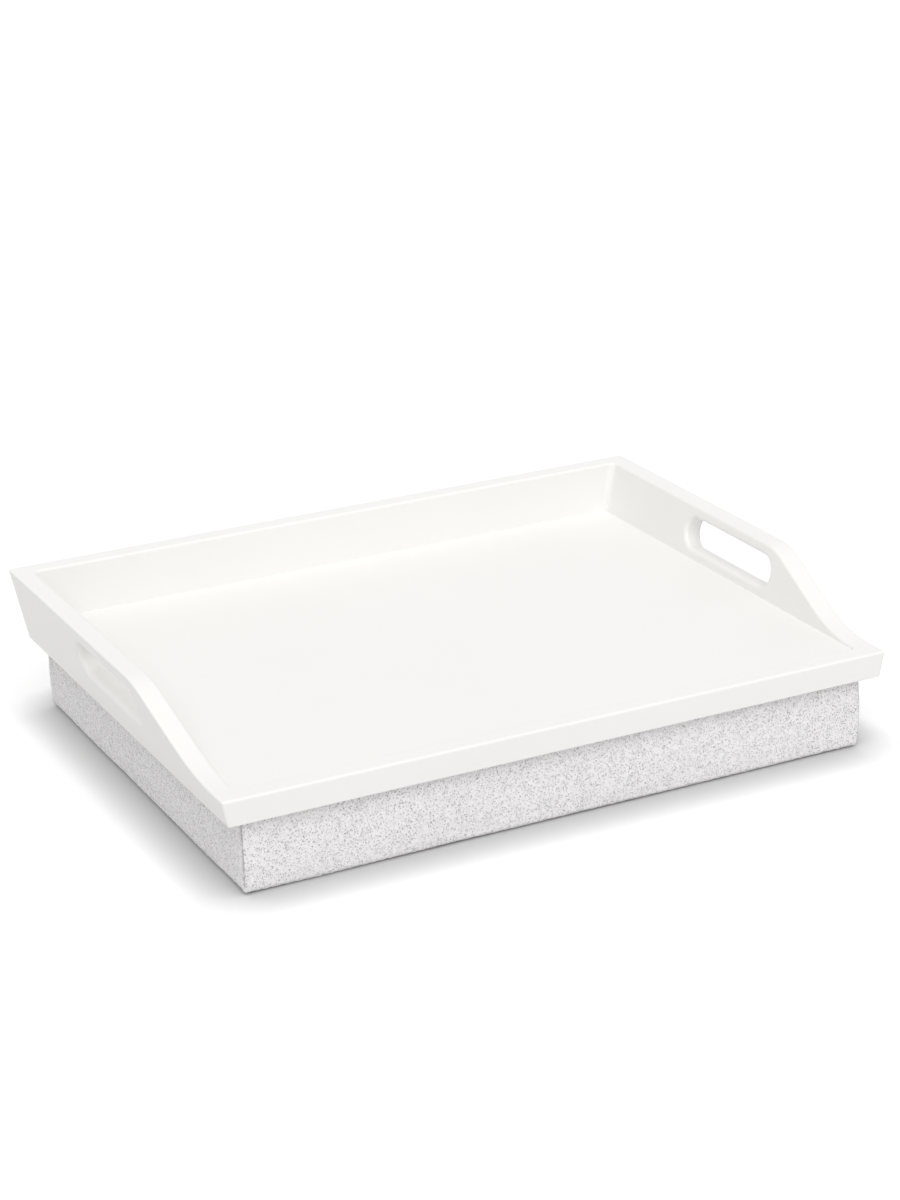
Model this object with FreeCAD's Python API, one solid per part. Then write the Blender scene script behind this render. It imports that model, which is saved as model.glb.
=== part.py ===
import FreeCAD, Part
import math
import os

from FreeCAD import Vector

# Lap tray on a boxed cushion, in millimetres.
# X runs to the right, Y to the back and Z up. The origin lies under the middle of the cushion.

# Tray outline. Heights of tray pieces are counted from the lower edges of its walls.
tray_bottom_width = 425.0
tray_depth = 328.0
wall_height = 48.0
side_flare = 10.0
side_thickness = 13.0
back_thickness = 13.0
front_thickness = 13.0
floor_thickness = 12.0
front_lip = 1.5
edge_round = 1.5

# Tongue round the floor board, and the grooves that take it
tongue_thickness = 6.0
tongue_length = 3.0
groove_clearance = 0.1

# Hand hole and the fall of each side towards the front
hole_length = 100.0
hole_height = 20.0
hole_round = 3.0
hole_middle = 0.0
grip_height = 8.5
shoulder_overlap = 10.0
shoulder_radius = 50.0
toe_radius = 120.0
toe_level = 15.0
bend_fit_share = 0.97

# Dowels that pin the rails to the sides
dowel_diameter = 5.0
dowel_length = 24.0
dowel_in_side = 8.0
dowel_inset = 5.5
dowel_fit = 0.05
dowel_end_gap = 0.5
back_dowel_height_shares = (0.45, 0.8)

# Hook tape under the floor and loop tape on the cushion
hook_thickness = 1.3
loop_thickness = 1.2
strip_length = 160.0
strip_width = 25.0
strip_inset = 40.0
rest_gap = 0.3

# Cushion. The tray's lower edges stand out past it by the overhangs.
side_overhang = 10.0
end_overhang = 8.0
cushion_height = 46.0
side_belly = 2.0
foot_spread = 1.0
bottom_round = 4.0
cover_thickness = 1.2
foam_ease = 0.3

# Zip in the back of the cushion
zip_length = 320.0
zip_window = 12.0
tape_width = 13.0
tape_thickness = 0.8
tape_gap = 2.4
tape_overlap = 8.0
sewing_ease = 0.05
coil_width = 2.6
coil_thickness = 2.0
coil_gap = 1.4
coil_ease = 0.15
stop_length = 3.0
stop_rise = 0.4

# Slider and pull
slider_length = 11.0
slider_width = 9.4
slider_plate = 1.1
slider_web = 0.7
slider_ease = 0.35
bridge_length = 8.0
bridge_width = 2.0
bridge_height = 3.2
bridge_bar = 1.1
pull_length = 24.0
pull_width = 6.5
pull_thickness = 1.2
pull_arm = 1.2
pull_side_gap = 0.4
pull_eye_reach = 5.6
pull_hole_diameter = 2.6
pull_hole_inset = 3.6

# How far every cutting shape runs past what it cuts
overrun = 10.0

# Places that follow from the sizes above
half_depth = tray_depth / 2
inner_front = -half_depth + front_thickness
inner_back = half_depth - back_thickness
floor_underside = hook_thickness + loop_thickness
floor_top = floor_underside + floor_thickness
front_height = floor_top + front_lip
tongue_low = floor_underside + (floor_thickness - tongue_thickness) / 2
tongue_high = tongue_low + tongue_thickness
hole_centre_height = wall_height - grip_height - hole_height / 2
tray_base = cushion_height + rest_gap
cushion_width = tray_bottom_width - 2 * side_overhang
cushion_depth = tray_depth - 2 * end_overhang
half_cushion_depth = cushion_depth / 2
zip_height = (cushion_height + bottom_round) / 2
tape_face = half_cushion_depth + side_belly - cover_thickness - sewing_ease
coil_base = tape_face + coil_ease
coil_top = coil_base + coil_thickness
tape_back = tape_face - tape_thickness
slider_face = coil_top + slider_ease + slider_plate
slider_back = tape_back - slider_ease - slider_plate
slider_start = zip_length / 2 - stop_length - slider_ease - slider_length / 2
pivot_depth = slider_face + (bridge_height - bridge_bar) / 2


def box(low_x, high_x, low_y, high_y, low_z, high_z):
    """A block between two corners."""
    corner = Vector(low_x, low_y, low_z)
    return Part.makeBox(high_x - low_x, high_y - low_y, high_z - low_z, corner)


def prism(corners, run):
    """A solid with straight edges: the closed outline of the corners, carried along the run."""
    outline = Part.makePolygon(corners + corners[:1])
    return Part.Face(outline).extrude(run)


def line(start, end):
    """A straight edge."""
    return Part.LineSegment(start, end).toShape()


def arc(start, middle, end):
    """A round edge through three points."""
    return Part.Arc(start, middle, end).toShape()


def both_ways(value):
    """A value on the left and on the right."""
    return (-value, value)


# Tray

def inner_face(height):
    """How far the inner face of a side stands from the middle at a height."""
    return tray_bottom_width / 2 - side_thickness + side_flare * height / wall_height


def span_between_sides(low, high, reach, front, back):
    """A block that fills the tray from side to side, with its ends parallel to the leaning sides."""
    low_half = inner_face(low) + reach
    high_half = inner_face(high) + reach
    corners = [
        Vector(-low_half, front, low),
        Vector(low_half, front, low),
        Vector(high_half, front, high),
        Vector(-high_half, front, high),
    ]
    return prism(corners, Vector(0, back - front, 0))


def floor_tongue(clearance):
    """The tongue round the floor with its middle, grown by a clearance to cut the grooves."""
    reach = tongue_length + clearance
    return span_between_sides(
        tongue_low - clearance, tongue_high + clearance, reach, inner_front - reach, inner_back + reach
    )


def tray_floor():
    """The floor board with its tongue."""
    board = span_between_sides(floor_underside, floor_top, 0, inner_front, inner_back)
    return board.fuse(floor_tongue(0)).removeSplitter()


def dowel_places():
    """The distance from the middle of the tray and the height of each dowel at one end of the rails."""
    places = [(-half_depth + dowel_inset, front_height / 2)]
    for share in back_dowel_height_shares:
        places.append((half_depth - dowel_inset, wall_height * share))
    return places


def dowels(radius, end_gap):
    """The dowels at both ends of the rails, or with a larger radius and an end gap, their holes."""
    pins = []
    for direction in both_ways(1):
        for depth, height in dowel_places():
            start = inner_face(height) - (dowel_length - dowel_in_side) - end_gap
            foot = Vector(direction * start, depth, height)
            along = Vector(direction, 0, 0)
            pins.append(Part.makeCylinder(radius, dowel_length + 2 * end_gap, foot, along))
    return pins


def dowel_holes():
    """The holes that take the dowels, with room round them and at their ends."""
    return dowels(dowel_diameter / 2 + dowel_fit, dowel_end_gap)


def level_edges(board, height):
    """The long edges from side to side at a height."""
    found = []
    for edge in board.Edges:
        extent = edge.BoundBox
        at_height = extent.ZMin > height - edge_round
        if at_height and extent.XLength > tray_bottom_width / 2:
            found.append(edge)
    return found


def rail(front, back, height):
    """A rail between the sides, with its upper edges eased and its groove and dowel holes cut."""
    board = span_between_sides(0, height, 0, front, back)
    board = board.makeFillet(edge_round, level_edges(board, height))
    return board.cut(floor_tongue(groove_clearance)).cut(dowel_holes())


def fall_points():
    """The points of the S curve from the level top of a side down to the height of the front rail.

    The radii give way when the run is too short for them.
    """
    start = hole_middle - hole_length / 2 + shoulder_overlap
    end = -half_depth + toe_level
    run = start - end
    drop = wall_height - front_height
    room = bend_fit_share * (run * run + drop * drop) / (2 * drop)
    fit = min(1.0, room / (shoulder_radius + toe_radius))
    upper = shoulder_radius * fit
    lower = toe_radius * fit
    both = upper + lower
    slope = math.atan2(run, both - drop) - math.acos(both / math.hypot(run, both - drop))

    def on_shoulder(angle):
        return Vector(0, start - upper * math.sin(angle), wall_height - upper * (1 - math.cos(angle)))

    def on_toe(angle):
        return Vector(0, end + lower * math.sin(angle), front_height + lower * (1 - math.cos(angle)))

    shoulder = [on_shoulder(0), on_shoulder(slope / 2), on_shoulder(slope)]
    toe = [on_toe(slope), on_toe(slope / 2), on_toe(0)]
    return shoulder, toe


def side_outline():
    """The outline of a side seen from the right, as a face."""
    shoulder, toe = fall_points()
    back_foot = Vector(0, half_depth, 0)
    back_top = Vector(0, half_depth, wall_height)
    front_top = Vector(0, -half_depth, front_height)
    front_foot = Vector(0, -half_depth, 0)
    edges = [
        line(back_foot, back_top),
        line(back_top, shoulder[0]),
        arc(*shoulder),
        line(shoulder[2], toe[0]),
        arc(*toe),
        line(toe[2], front_top),
        line(front_top, front_foot),
        line(front_foot, back_foot),
    ]
    return Part.Face(Part.Wire(edges))


def hand_hole():
    """The round-ended cutter for the right hand hole, square to the leaning side."""
    radius = hole_height / 2
    straight = hole_length / 2 - radius
    reach = side_thickness + overrun
    low = hole_centre_height - radius
    high = hole_centre_height + radius
    front = hole_middle - straight
    back = hole_middle + straight
    edges = [
        line(Vector(0, front, low), Vector(0, back, low)),
        arc(Vector(0, back, low), Vector(0, back + radius, hole_centre_height), Vector(0, back, high)),
        line(Vector(0, back, high), Vector(0, front, high)),
        arc(Vector(0, front, high), Vector(0, front - radius, hole_centre_height), Vector(0, front, low)),
    ]
    cutter = Part.Face(Part.Wire(edges)).extrude(Vector(2 * reach, 0, 0))
    middle = inner_face(hole_centre_height) + side_thickness / 2
    cutter.translate(Vector(middle - reach, 0, 0))
    lean = math.degrees(math.atan2(side_flare, wall_height))
    cutter.rotate(Vector(middle, 0, hole_centre_height), Vector(0, 1, 0), lean)
    return cutter


def hole_edges(board):
    """The edges of the hand hole on both faces of the right side."""
    found = []
    for edge in board.Edges:
        centre = edge.CenterOfMass
        in_length = abs(centre.y - hole_middle) < hole_length / 2
        in_height = abs(centre.z - hole_centre_height) < hole_height
        crosses_board = edge.BoundBox.XLength > side_thickness / 2
        if in_length and in_height and not crosses_board:
            found.append(edge)
    return found


def top_edges(board):
    """The edges that run along the top of the right side, on its inner and its outer face."""
    found = []
    for edge in board.Edges:
        extent = edge.BoundBox
        if extent.YLength > edge_round and extent.ZMin > front_height / 2:
            found.append(edge)
    return found


def right_side():
    """The right side: a leaning board with its S-shaped top, hand hole, groove and dowel holes."""
    low_inner = inner_face(0)
    high_inner = inner_face(wall_height)
    corners = [
        Vector(low_inner, -half_depth, 0),
        Vector(low_inner + side_thickness, -half_depth, 0),
        Vector(high_inner + side_thickness, -half_depth, wall_height),
        Vector(high_inner, -half_depth, wall_height),
    ]
    slab = prism(corners, Vector(0, tray_depth, 0))
    outline = side_outline()
    outline.translate(Vector(low_inner - overrun, 0, 0))
    board = slab.common(outline.extrude(Vector(side_flare + side_thickness + 2 * overrun, 0, 0)))
    board = board.makeFillet(edge_round, top_edges(board))
    board = board.cut(hand_hole())
    board = board.makeFillet(hole_round, hole_edges(board))
    return board.cut(floor_tongue(groove_clearance)).cut(dowel_holes())


def mirrored(shape):
    """The same piece on the other side of the tray."""
    return shape.mirror(Vector(0, 0, 0), Vector(1, 0, 0))


# Hook and loop tape

def strip_places():
    """Each strip's name, the middle of its place, and its extent along X and Y."""
    across = cushion_depth / 2 - strip_inset
    along = cushion_width / 2 - strip_inset
    return {
        "front": (0, -across, strip_length, strip_width),
        "back": (0, across, strip_length, strip_width),
        "left": (-along, 0, strip_width, strip_length),
        "right": (along, 0, strip_width, strip_length),
    }


def strip(place, low, high):
    """One strip of tape between two heights."""
    x, y, width, depth = place
    return box(x - width / 2, x + width / 2, y - depth / 2, y + depth / 2, low, high)


# Cushion

def cushion_section(half, inset, to_point):
    """A closed upright section of the cushion, drawn in by an inset on every side.

    The sides swell between the seams, and the bottom is rounded off.
    """
    seam = half - inset
    foot = half + foot_spread - inset
    round_centre = half + foot_spread - bottom_round
    round_radius = bottom_round - inset
    corner = round_radius * math.sqrt(0.5)
    top = cushion_height - inset

    def side(sign):
        upper = to_point(sign * seam, top)
        belly = to_point(sign * (half + side_belly - inset), zip_height)
        lower = to_point(sign * foot, bottom_round)
        turn = to_point(sign * (round_centre + corner), bottom_round - corner)
        base = to_point(sign * round_centre, inset)
        return upper, belly, lower, turn, base

    right_upper, right_belly, right_lower, right_turn, right_base = side(1)
    left_upper, left_belly, left_lower, left_turn, left_base = side(-1)
    edges = [
        line(left_upper, right_upper),
        arc(right_upper, right_belly, right_lower),
        arc(right_lower, right_turn, right_base),
        line(right_base, left_base),
        arc(left_base, left_turn, left_lower),
        arc(left_lower, left_belly, left_upper),
    ]
    return Part.Face(Part.Wire(edges))


def cushion_form(inset):
    """The swelling block of the cushion, drawn in by an inset."""
    half_length = cushion_width / 2 + overrun
    half_breadth = cushion_depth / 2 + overrun
    lengthwise = cushion_section(cushion_depth / 2, inset, lambda u, z: Vector(-half_length, u, z))
    crosswise = cushion_section(cushion_width / 2, inset, lambda u, z: Vector(u, -half_breadth, z))
    long_block = lengthwise.extrude(Vector(2 * half_length, 0, 0))
    cross_block = crosswise.extrude(Vector(0, 2 * half_breadth, 0))
    return long_block.common(cross_block)


def layer(low, high):
    """Everything of the cushion between two heights."""
    half_length = cushion_width / 2 + overrun
    half_breadth = cushion_depth / 2 + overrun
    return box(-half_length, half_length, -half_breadth, half_breadth, low, high)


def boxing_wedge(towards_x, towards_y):
    """The part of the cushion's rim that one boxing panel covers, cut off at 45 degrees in the corners."""
    half_x = cushion_width / 2
    half_y = cushion_depth / 2
    plan = []
    for step, end in ((1, -1), (1, 1), (-1, 1), (-1, -1)):
        if towards_y:
            plan.append((end * (half_x + step * overrun), towards_y * (half_y + step * overrun)))
        else:
            plan.append((towards_x * (half_x + step * overrun), end * (half_y + step * overrun)))
    corners = [Vector(x, y, bottom_round) for x, y in plan]
    return prism(corners, Vector(0, 0, cushion_height - cover_thickness - bottom_round))


def cover_panels():
    """The sewn panels of the cover, by name. The back boxing is two bands with the zip's window between."""
    cover = cushion_form(0).cut(cushion_form(cover_thickness))
    back = cover.common(boxing_wedge(0, 1))
    window = box(
        -zip_length / 2,
        zip_length / 2,
        half_cushion_depth - overrun,
        half_cushion_depth + overrun,
        zip_height - zip_window / 2,
        zip_height + zip_window / 2,
    )
    banded = back.cut(window)
    side_top = cushion_height - cover_thickness
    return {
        "cushion_top_panel": cover.common(layer(side_top, cushion_height + overrun)),
        "cushion_bottom_panel": cover.common(layer(-overrun, bottom_round)),
        "cushion_front_panel": cover.common(boxing_wedge(0, -1)),
        "cushion_left_panel": cover.common(boxing_wedge(-1, 0)),
        "cushion_right_panel": cover.common(boxing_wedge(1, 0)),
        "zip_band_upper": banded.common(layer(zip_height, cushion_height)),
        "zip_band_lower": banded.common(layer(0, zip_height)),
    }


def foam_core():
    """The foam block that fills the cover, with a shallow pocket behind the zip."""
    core = cushion_form(cover_thickness + foam_ease)
    half_length = zip_length / 2 + tape_overlap + foam_ease
    half_height = tape_gap / 2 + tape_width + foam_ease
    pocket = box(
        -half_length,
        half_length,
        slider_back - slider_ease,
        half_cushion_depth + overrun,
        zip_height - half_height,
        zip_height + half_height,
    )
    return core.cut(pocket)


# Zip

def zip_tape(side):
    """The upper (1) or lower (-1) tape, which lies against the inside of its band."""
    sheet = cushion_form(cover_thickness + sewing_ease).cut(
        cushion_form(cover_thickness + sewing_ease + tape_thickness)
    )
    near = zip_height + side * tape_gap / 2
    far = near + side * tape_width
    half_length = zip_length / 2 + tape_overlap
    back = half_cushion_depth + overrun
    reach = box(-half_length, half_length, slider_back, back, min(near, far), max(near, far))
    return sheet.common(reach)


def zip_coil(side):
    """The upper (1) or lower (-1) half of the closed coil, as a bar."""
    near = zip_height + side * coil_gap / 2
    far = near + side * coil_width
    half_length = zip_length / 2
    return box(-half_length, half_length, coil_base, coil_top, min(near, far), max(near, far))


def zip_end_stops():
    """The two stops that clamp the ends of the coil."""
    stops = []
    half_height = coil_gap / 2 + coil_width
    for side in both_ways(1):
        outer = side * zip_length / 2
        inner = outer - side * stop_length
        stop = box(
            min(inner, outer),
            max(inner, outer),
            coil_top,
            coil_top + stop_rise,
            zip_height - half_height,
            zip_height + half_height,
        )
        stops.append(stop)
    return Part.makeCompound(stops)


def zip_slider():
    """The slider: a flanged plate over the coil, a web between its halves and a plate behind the tapes."""
    low_x = slider_start - slider_length / 2
    high_x = slider_start + slider_length / 2
    half = slider_width / 2
    plate_back = slider_face - slider_plate
    front_plate = box(low_x, high_x, plate_back, slider_face, zip_height - half, zip_height + half)
    back_plate = box(
        low_x, high_x, slider_back, slider_back + slider_plate, zip_height - half, zip_height + half
    )
    web_half = slider_web / 2
    web = box(low_x, high_x, slider_back, slider_face, zip_height - web_half, zip_height + web_half)
    flanges = []
    inner = coil_gap / 2 + coil_width + slider_ease
    for side in both_ways(1):
        near = zip_height + side * inner
        far = zip_height + side * half
        flange_foot = tape_face + slider_ease
        flanges.append(box(low_x, high_x, flange_foot, slider_face, min(near, far), max(near, far)))
    return front_plate.fuse([back_plate, web, slider_bridge()] + flanges).removeSplitter()


def slider_bridge():
    """The arch on the slider that holds the pull."""
    half_length = bridge_length / 2
    half_width = bridge_width / 2
    arch = box(
        slider_start - half_length,
        slider_start + half_length,
        slider_face,
        slider_face + bridge_height,
        zip_height - half_width,
        zip_height + half_width,
    )
    half_gap = half_length - bridge_bar
    gap = box(
        slider_start - half_gap,
        slider_start + half_gap,
        slider_face,
        slider_face + bridge_height - bridge_bar,
        zip_height - bridge_width,
        zip_height + bridge_width,
    )
    return arch.cut(gap)


def zip_pull():
    """The pull: a round-ended tab with an eye whose bar lies under the slider's bridge."""
    low_y = pivot_depth - pull_thickness / 2
    high_y = pivot_depth + pull_thickness / 2
    end_radius = pull_width / 2
    tab_start = slider_start - pull_eye_reach
    tab_end = slider_start - pull_length + end_radius
    thickness = Vector(0, 1, 0)
    tab = box(tab_end, tab_start, low_y, high_y, zip_height - end_radius, zip_height + end_radius)
    end = Part.makeCylinder(end_radius, pull_thickness, Vector(tab_end, low_y, zip_height), thickness)
    pieces = [end]
    arm_near = bridge_width / 2 + pull_side_gap
    arm_far = arm_near + pull_arm
    for side in both_ways(1):
        near = zip_height + side * arm_near
        far = zip_height + side * arm_far
        arm_end = slider_start + pull_thickness / 2
        pieces.append(box(tab_start, arm_end, low_y, high_y, min(near, far), max(near, far)))
    bar_foot = Vector(slider_start, pivot_depth, zip_height - arm_far)
    pieces.append(Part.makeCylinder(pull_thickness / 2, 2 * arm_far, bar_foot, Vector(0, 0, 1)))
    hole_place = Vector(slider_start - pull_length + pull_hole_inset, low_y - overrun, zip_height)
    hole = Part.makeCylinder(pull_hole_diameter / 2, pull_thickness + 2 * overrun, hole_place, thickness)
    return tab.fuse(pieces).removeSplitter().cut(hole)


def tray_pieces():
    """The pieces of the tray by name, at their heights above the walls' lower edges."""
    right = right_side()
    pieces = {
        "tray_floor": tray_floor(),
        "front_rail": rail(-half_depth, inner_front, front_height),
        "back_rail": rail(inner_back, half_depth, wall_height),
        "right_side": right,
        "left_side": mirrored(right),
        "corner_dowels": Part.makeCompound(dowels(dowel_diameter / 2, 0)),
    }
    for name, place in strip_places().items():
        pieces["hook_strip_" + name] = strip(place, floor_underside - hook_thickness, floor_underside)
    return pieces


def cushion_pieces():
    """The pieces of the cushion by name."""
    pieces = cover_panels()
    pieces["foam_core"] = foam_core()
    for name, place in strip_places().items():
        pieces["loop_strip_" + name] = strip(place, cushion_height, cushion_height + loop_thickness)
    for name, side in (("upper", 1), ("lower", -1)):
        pieces["zip_tape_" + name] = zip_tape(side)
        pieces["zip_coil_" + name] = zip_coil(side)
    pieces["zip_end_stops"] = zip_end_stops()
    pieces["zip_slider"] = zip_slider()
    pieces["zip_pull"] = zip_pull()
    return pieces


os.makedirs("parts", exist_ok=True)
for node, shape in tray_pieces().items():
    shape.translate(Vector(0, 0, tray_base))
    shape.exportStep("parts/" + node + ".step")
for node, shape in cushion_pieces().items():
    shape.exportStep("parts/" + node + ".step")
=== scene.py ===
import logging
import math
from contextlib import contextmanager
from dataclasses import dataclass
from enum import Enum
from typing import Any, Callable, Iterator, Optional, Sequence

import bmesh
import bpy
from mathutils import Matrix, Vector, noise


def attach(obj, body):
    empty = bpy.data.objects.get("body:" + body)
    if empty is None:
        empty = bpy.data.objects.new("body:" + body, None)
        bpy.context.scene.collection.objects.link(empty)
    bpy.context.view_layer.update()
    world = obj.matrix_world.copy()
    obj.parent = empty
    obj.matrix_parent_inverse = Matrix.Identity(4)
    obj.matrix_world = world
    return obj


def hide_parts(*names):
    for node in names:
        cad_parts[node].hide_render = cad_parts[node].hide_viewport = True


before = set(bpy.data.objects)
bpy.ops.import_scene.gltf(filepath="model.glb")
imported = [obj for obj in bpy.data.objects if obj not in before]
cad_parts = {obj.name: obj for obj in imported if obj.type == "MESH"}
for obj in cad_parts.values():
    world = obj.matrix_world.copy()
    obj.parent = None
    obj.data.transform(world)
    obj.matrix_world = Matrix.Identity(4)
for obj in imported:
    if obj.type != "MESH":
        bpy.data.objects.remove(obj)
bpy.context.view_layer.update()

log = logging.getLogger("lap_tray")

Node = bpy.types.Node
Piece = bpy.types.Object
Point = Sequence[float]
Socket = bpy.types.NodeSocket

ORIGIN = (0.0, 0.0, 0.0)
RIGHT = (1.0, 0.0, 0.0)
BACK = (0.0, 1.0, 0.0)
UP = (0.0, 0.0, 1.0)
MIRRORED = (-1.0, 1.0, 1.0)
BOTH_WAYS = (-1.0, 1.0)
WHITE = (1.0, 1.0, 1.0, 1.0)
# Gaps in metres that count as none, and how much of a direction lies along the axis that it follows
TINY = 1e-6
SMALL = 1e-5
ALONG = 0.9


class Body(Enum):
    """The bodies that the pieces ride on."""

    CUSHION = "cushion"
    TRAY = "tray"
    SLIDER = "zip_slider"
    PULL = "zip_pull"


class Slot(Enum):
    """The finishes that the record names."""

    PAINT = "painted_wood"
    WOOD = "bare_wood"
    HOOK = "hook_tape"
    LOOP = "loop_tape"
    FABRIC = "heather_fabric"
    FOAM = "foam"
    TAPE = "zip_tape"
    COIL = "zip_coil"
    METAL = "zip_metal"


class Pick(Enum):
    """What a click selects in edit mode."""

    VERTICES = "VERT"
    EDGES = "EDGE"
    FACES = "FACE"


class Keep(Enum):
    """Which side of a saw cut is kept."""

    BOTH = "both"
    AHEAD = "ahead"
    BEHIND = "behind"


# Hand tools

@dataclass(frozen=True)
class Round:
    """How an edge is rounded: the radius, and how many faces make the round."""

    radius: float
    steps: int


class Bench:
    """Tools that shape one object at a time with Blender's own operators."""

    @staticmethod
    def take(obj: Optional[Piece]) -> None:
        """Lays everything down and picks one object up.

        Args:
            obj: the object, or None for none.
        """
        if bpy.context.mode != "OBJECT":
            bpy.ops.object.mode_set(mode="OBJECT")
        bpy.ops.object.select_all(action="DESELECT")
        if obj is not None:
            obj.select_set(True)
        bpy.context.view_layer.objects.active = obj

    @staticmethod
    def settle(obj: Piece) -> None:
        """Moves an object's place into its mesh, so that it sits at the origin."""
        Bench.take(obj)
        bpy.ops.object.transform_apply(location=True, rotation=True, scale=True)

    @staticmethod
    def add(operator: Callable, name: str, **settings: Any) -> Piece:
        """Adds a primitive.

        Args:
            operator: the operator that makes it.
            name: the name of the object and its mesh.
            settings: values for the operator.

        Returns:
            The object, which sits at the origin.
        """
        Bench.take(None)
        operator(**settings)
        obj = bpy.context.object
        obj.name = name
        obj.data.name = name
        Bench.settle(obj)
        return obj

    @staticmethod
    def block(name: str, low: Point, high: Point) -> Piece:
        """Adds a block between two corners.

        Args:
            name: the object's name.
            low: its lowest corner.
            high: its highest corner.

        Returns:
            The block.
        """
        low, high = Vector(low), Vector(high)
        return Bench.add(
            bpy.ops.mesh.primitive_cube_add, name, size=1.0, location=(low + high) / 2, scale=high - low
        )

    @staticmethod
    def rod(name: str, radius: float, start: Point, end: Point, sides: int) -> Piece:
        """Adds a round rod from one point to another.

        Args:
            name: the object's name.
            radius: the rod's radius.
            start: the middle of its first end.
            end: the middle of its other end.
            sides: how many faces go round it.

        Returns:
            The rod.
        """
        start, end = Vector(start), Vector(end)
        along = end - start
        return Bench.add(
            bpy.ops.mesh.primitive_cylinder_add,
            name,
            vertices=sides,
            radius=radius,
            depth=along.length,
            location=(start + end) / 2,
            rotation=along.to_track_quat("Z", "Y").to_euler(),
        )

    @staticmethod
    @contextmanager
    def editing(obj: Piece, pick: Pick = Pick.FACES, whole: bool = False) -> Iterator[None]:
        """Opens an object in edit mode, and closes it again.

        Args:
            obj: the object.
            pick: what is selected there.
            whole: whether all of it is selected at first, or nothing.

        Returns:
            A context for use in a with statement.
        """
        Bench.take(obj)
        bpy.ops.object.mode_set(mode="EDIT")
        bpy.ops.mesh.select_mode(type=pick.value)
        bpy.ops.mesh.select_all(action="SELECT" if whole else "DESELECT")
        try:
            yield
        finally:
            bpy.ops.object.mode_set(mode="OBJECT")

    @staticmethod
    def select(obj: Piece, pick: Pick, test: Callable[[Any], bool]) -> int:
        """Selects the elements of an open object that pass a test.

        Args:
            obj: an object in edit mode.
            pick: the kind of element.
            test: says whether an element is wanted.

        Returns:
            How many were selected.
        """
        bpy.ops.mesh.select_mode(type=pick.value)
        bpy.ops.mesh.select_all(action="DESELECT")
        mesh = bmesh.from_edit_mesh(obj.data)
        mesh.normal_update()
        elements = {Pick.VERTICES: mesh.verts, Pick.EDGES: mesh.edges, Pick.FACES: mesh.faces}[pick]
        wanted = [element for element in elements if test(element)]
        for element in wanted:
            element.select_set(True)
        mesh.select_flush_mode()
        bmesh.update_edit_mesh(obj.data)
        return len(wanted)

    @staticmethod
    def turned(edge: Any, least: float = 0.5) -> bool:
        """Whether the surface turns at an edge by more than an angle in radians."""
        return len(edge.link_faces) == 2 and edge.calc_face_angle(0.0) > least

    @staticmethod
    def saw(obj: Piece, point: Point, normal: Point, keep: Keep = Keep.BOTH) -> None:
        """Cuts an object along a plane and closes the cut where a side is thrown away.

        Args:
            obj: the object.
            point: a point of the plane.
            normal: the plane's normal, which points ahead.
            keep: the side that stays.
        """
        with Bench.editing(obj, whole=True):
            bpy.ops.mesh.bisect(
                plane_co=point,
                plane_no=normal,
                use_fill=keep is not Keep.BOTH,
                clear_inner=keep is Keep.AHEAD,
                clear_outer=keep is Keep.BEHIND,
            )

    @staticmethod
    def grid(obj: Piece, cuts: Sequence[int]) -> None:
        """Cuts a block into a grid.

        Args:
            obj: the block.
            cuts: how many cuts cross its edges along each axis.
        """

        def runs_along(edge: Any, axis: int) -> bool:
            """Whether an edge runs along an axis."""
            return abs((edge.verts[0].co - edge.verts[1].co).normalized()[axis]) > ALONG

        for axis, count in enumerate(cuts):
            with Bench.editing(obj, Pick.EDGES):
                Bench.select(obj, Pick.EDGES, lambda edge: runs_along(edge, axis))
                bpy.ops.mesh.subdivide(number_cuts=count)

    @staticmethod
    def apply(obj: Piece, kind: str, **settings: Any) -> None:
        """Adds a modifier and applies it.

        Args:
            obj: the object.
            kind: the modifier's type.
            settings: values for the modifier's properties.
        """
        modifier = obj.modifiers.new(kind.lower(), kind)
        for name, value in settings.items():
            setattr(modifier, name, value)
        Bench.take(obj)
        bpy.ops.object.modifier_apply(modifier=modifier.name)

    @staticmethod
    def carve(obj: Piece, cutter: Piece) -> None:
        """Cuts a shape out of an object and throws the cutter away."""
        Bench.apply(obj, "BOOLEAN", operation="DIFFERENCE", solver="EXACT", object=cutter)
        bpy.data.objects.remove(cutter, do_unlink=True)

    @staticmethod
    def ease(obj: Piece, edge_round: Round, test: Callable[[Any], bool]) -> None:
        """Rounds the edges that pass a test.

        Args:
            obj: the object.
            edge_round: how round they get.
            test: says whether an edge is rounded.
        """
        with Bench.editing(obj, Pick.EDGES):
            if Bench.select(obj, Pick.EDGES, test):
                bpy.ops.mesh.bevel(
                    offset=edge_round.radius,
                    segments=edge_round.steps,
                    profile=0.5,
                    affect="EDGES",
                    clamp_overlap=True,
                )

    @staticmethod
    def polish(obj: Piece, degrees: float = 32.0) -> None:
        """Shades the rounds smoothly and keeps the flat faces flat.

        Args:
            obj: the object.
            degrees: the sharpest turn that still looks smooth.
        """
        Bench.take(obj)
        bpy.ops.object.shade_smooth_by_angle(angle=math.radians(degrees))
        Bench.apply(obj, "WEIGHTED_NORMAL", keep_sharp=True, weight=80)

    @staticmethod
    def copy(obj: Piece, name: str) -> Piece:
        """Makes a copy with its own mesh.

        Args:
            obj: the object.
            name: the copy's name.

        Returns:
            The copy.
        """
        twin = bpy.data.objects.new(name, obj.data.copy())
        twin.data.name = name
        bpy.context.scene.collection.objects.link(twin)
        return twin

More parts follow.
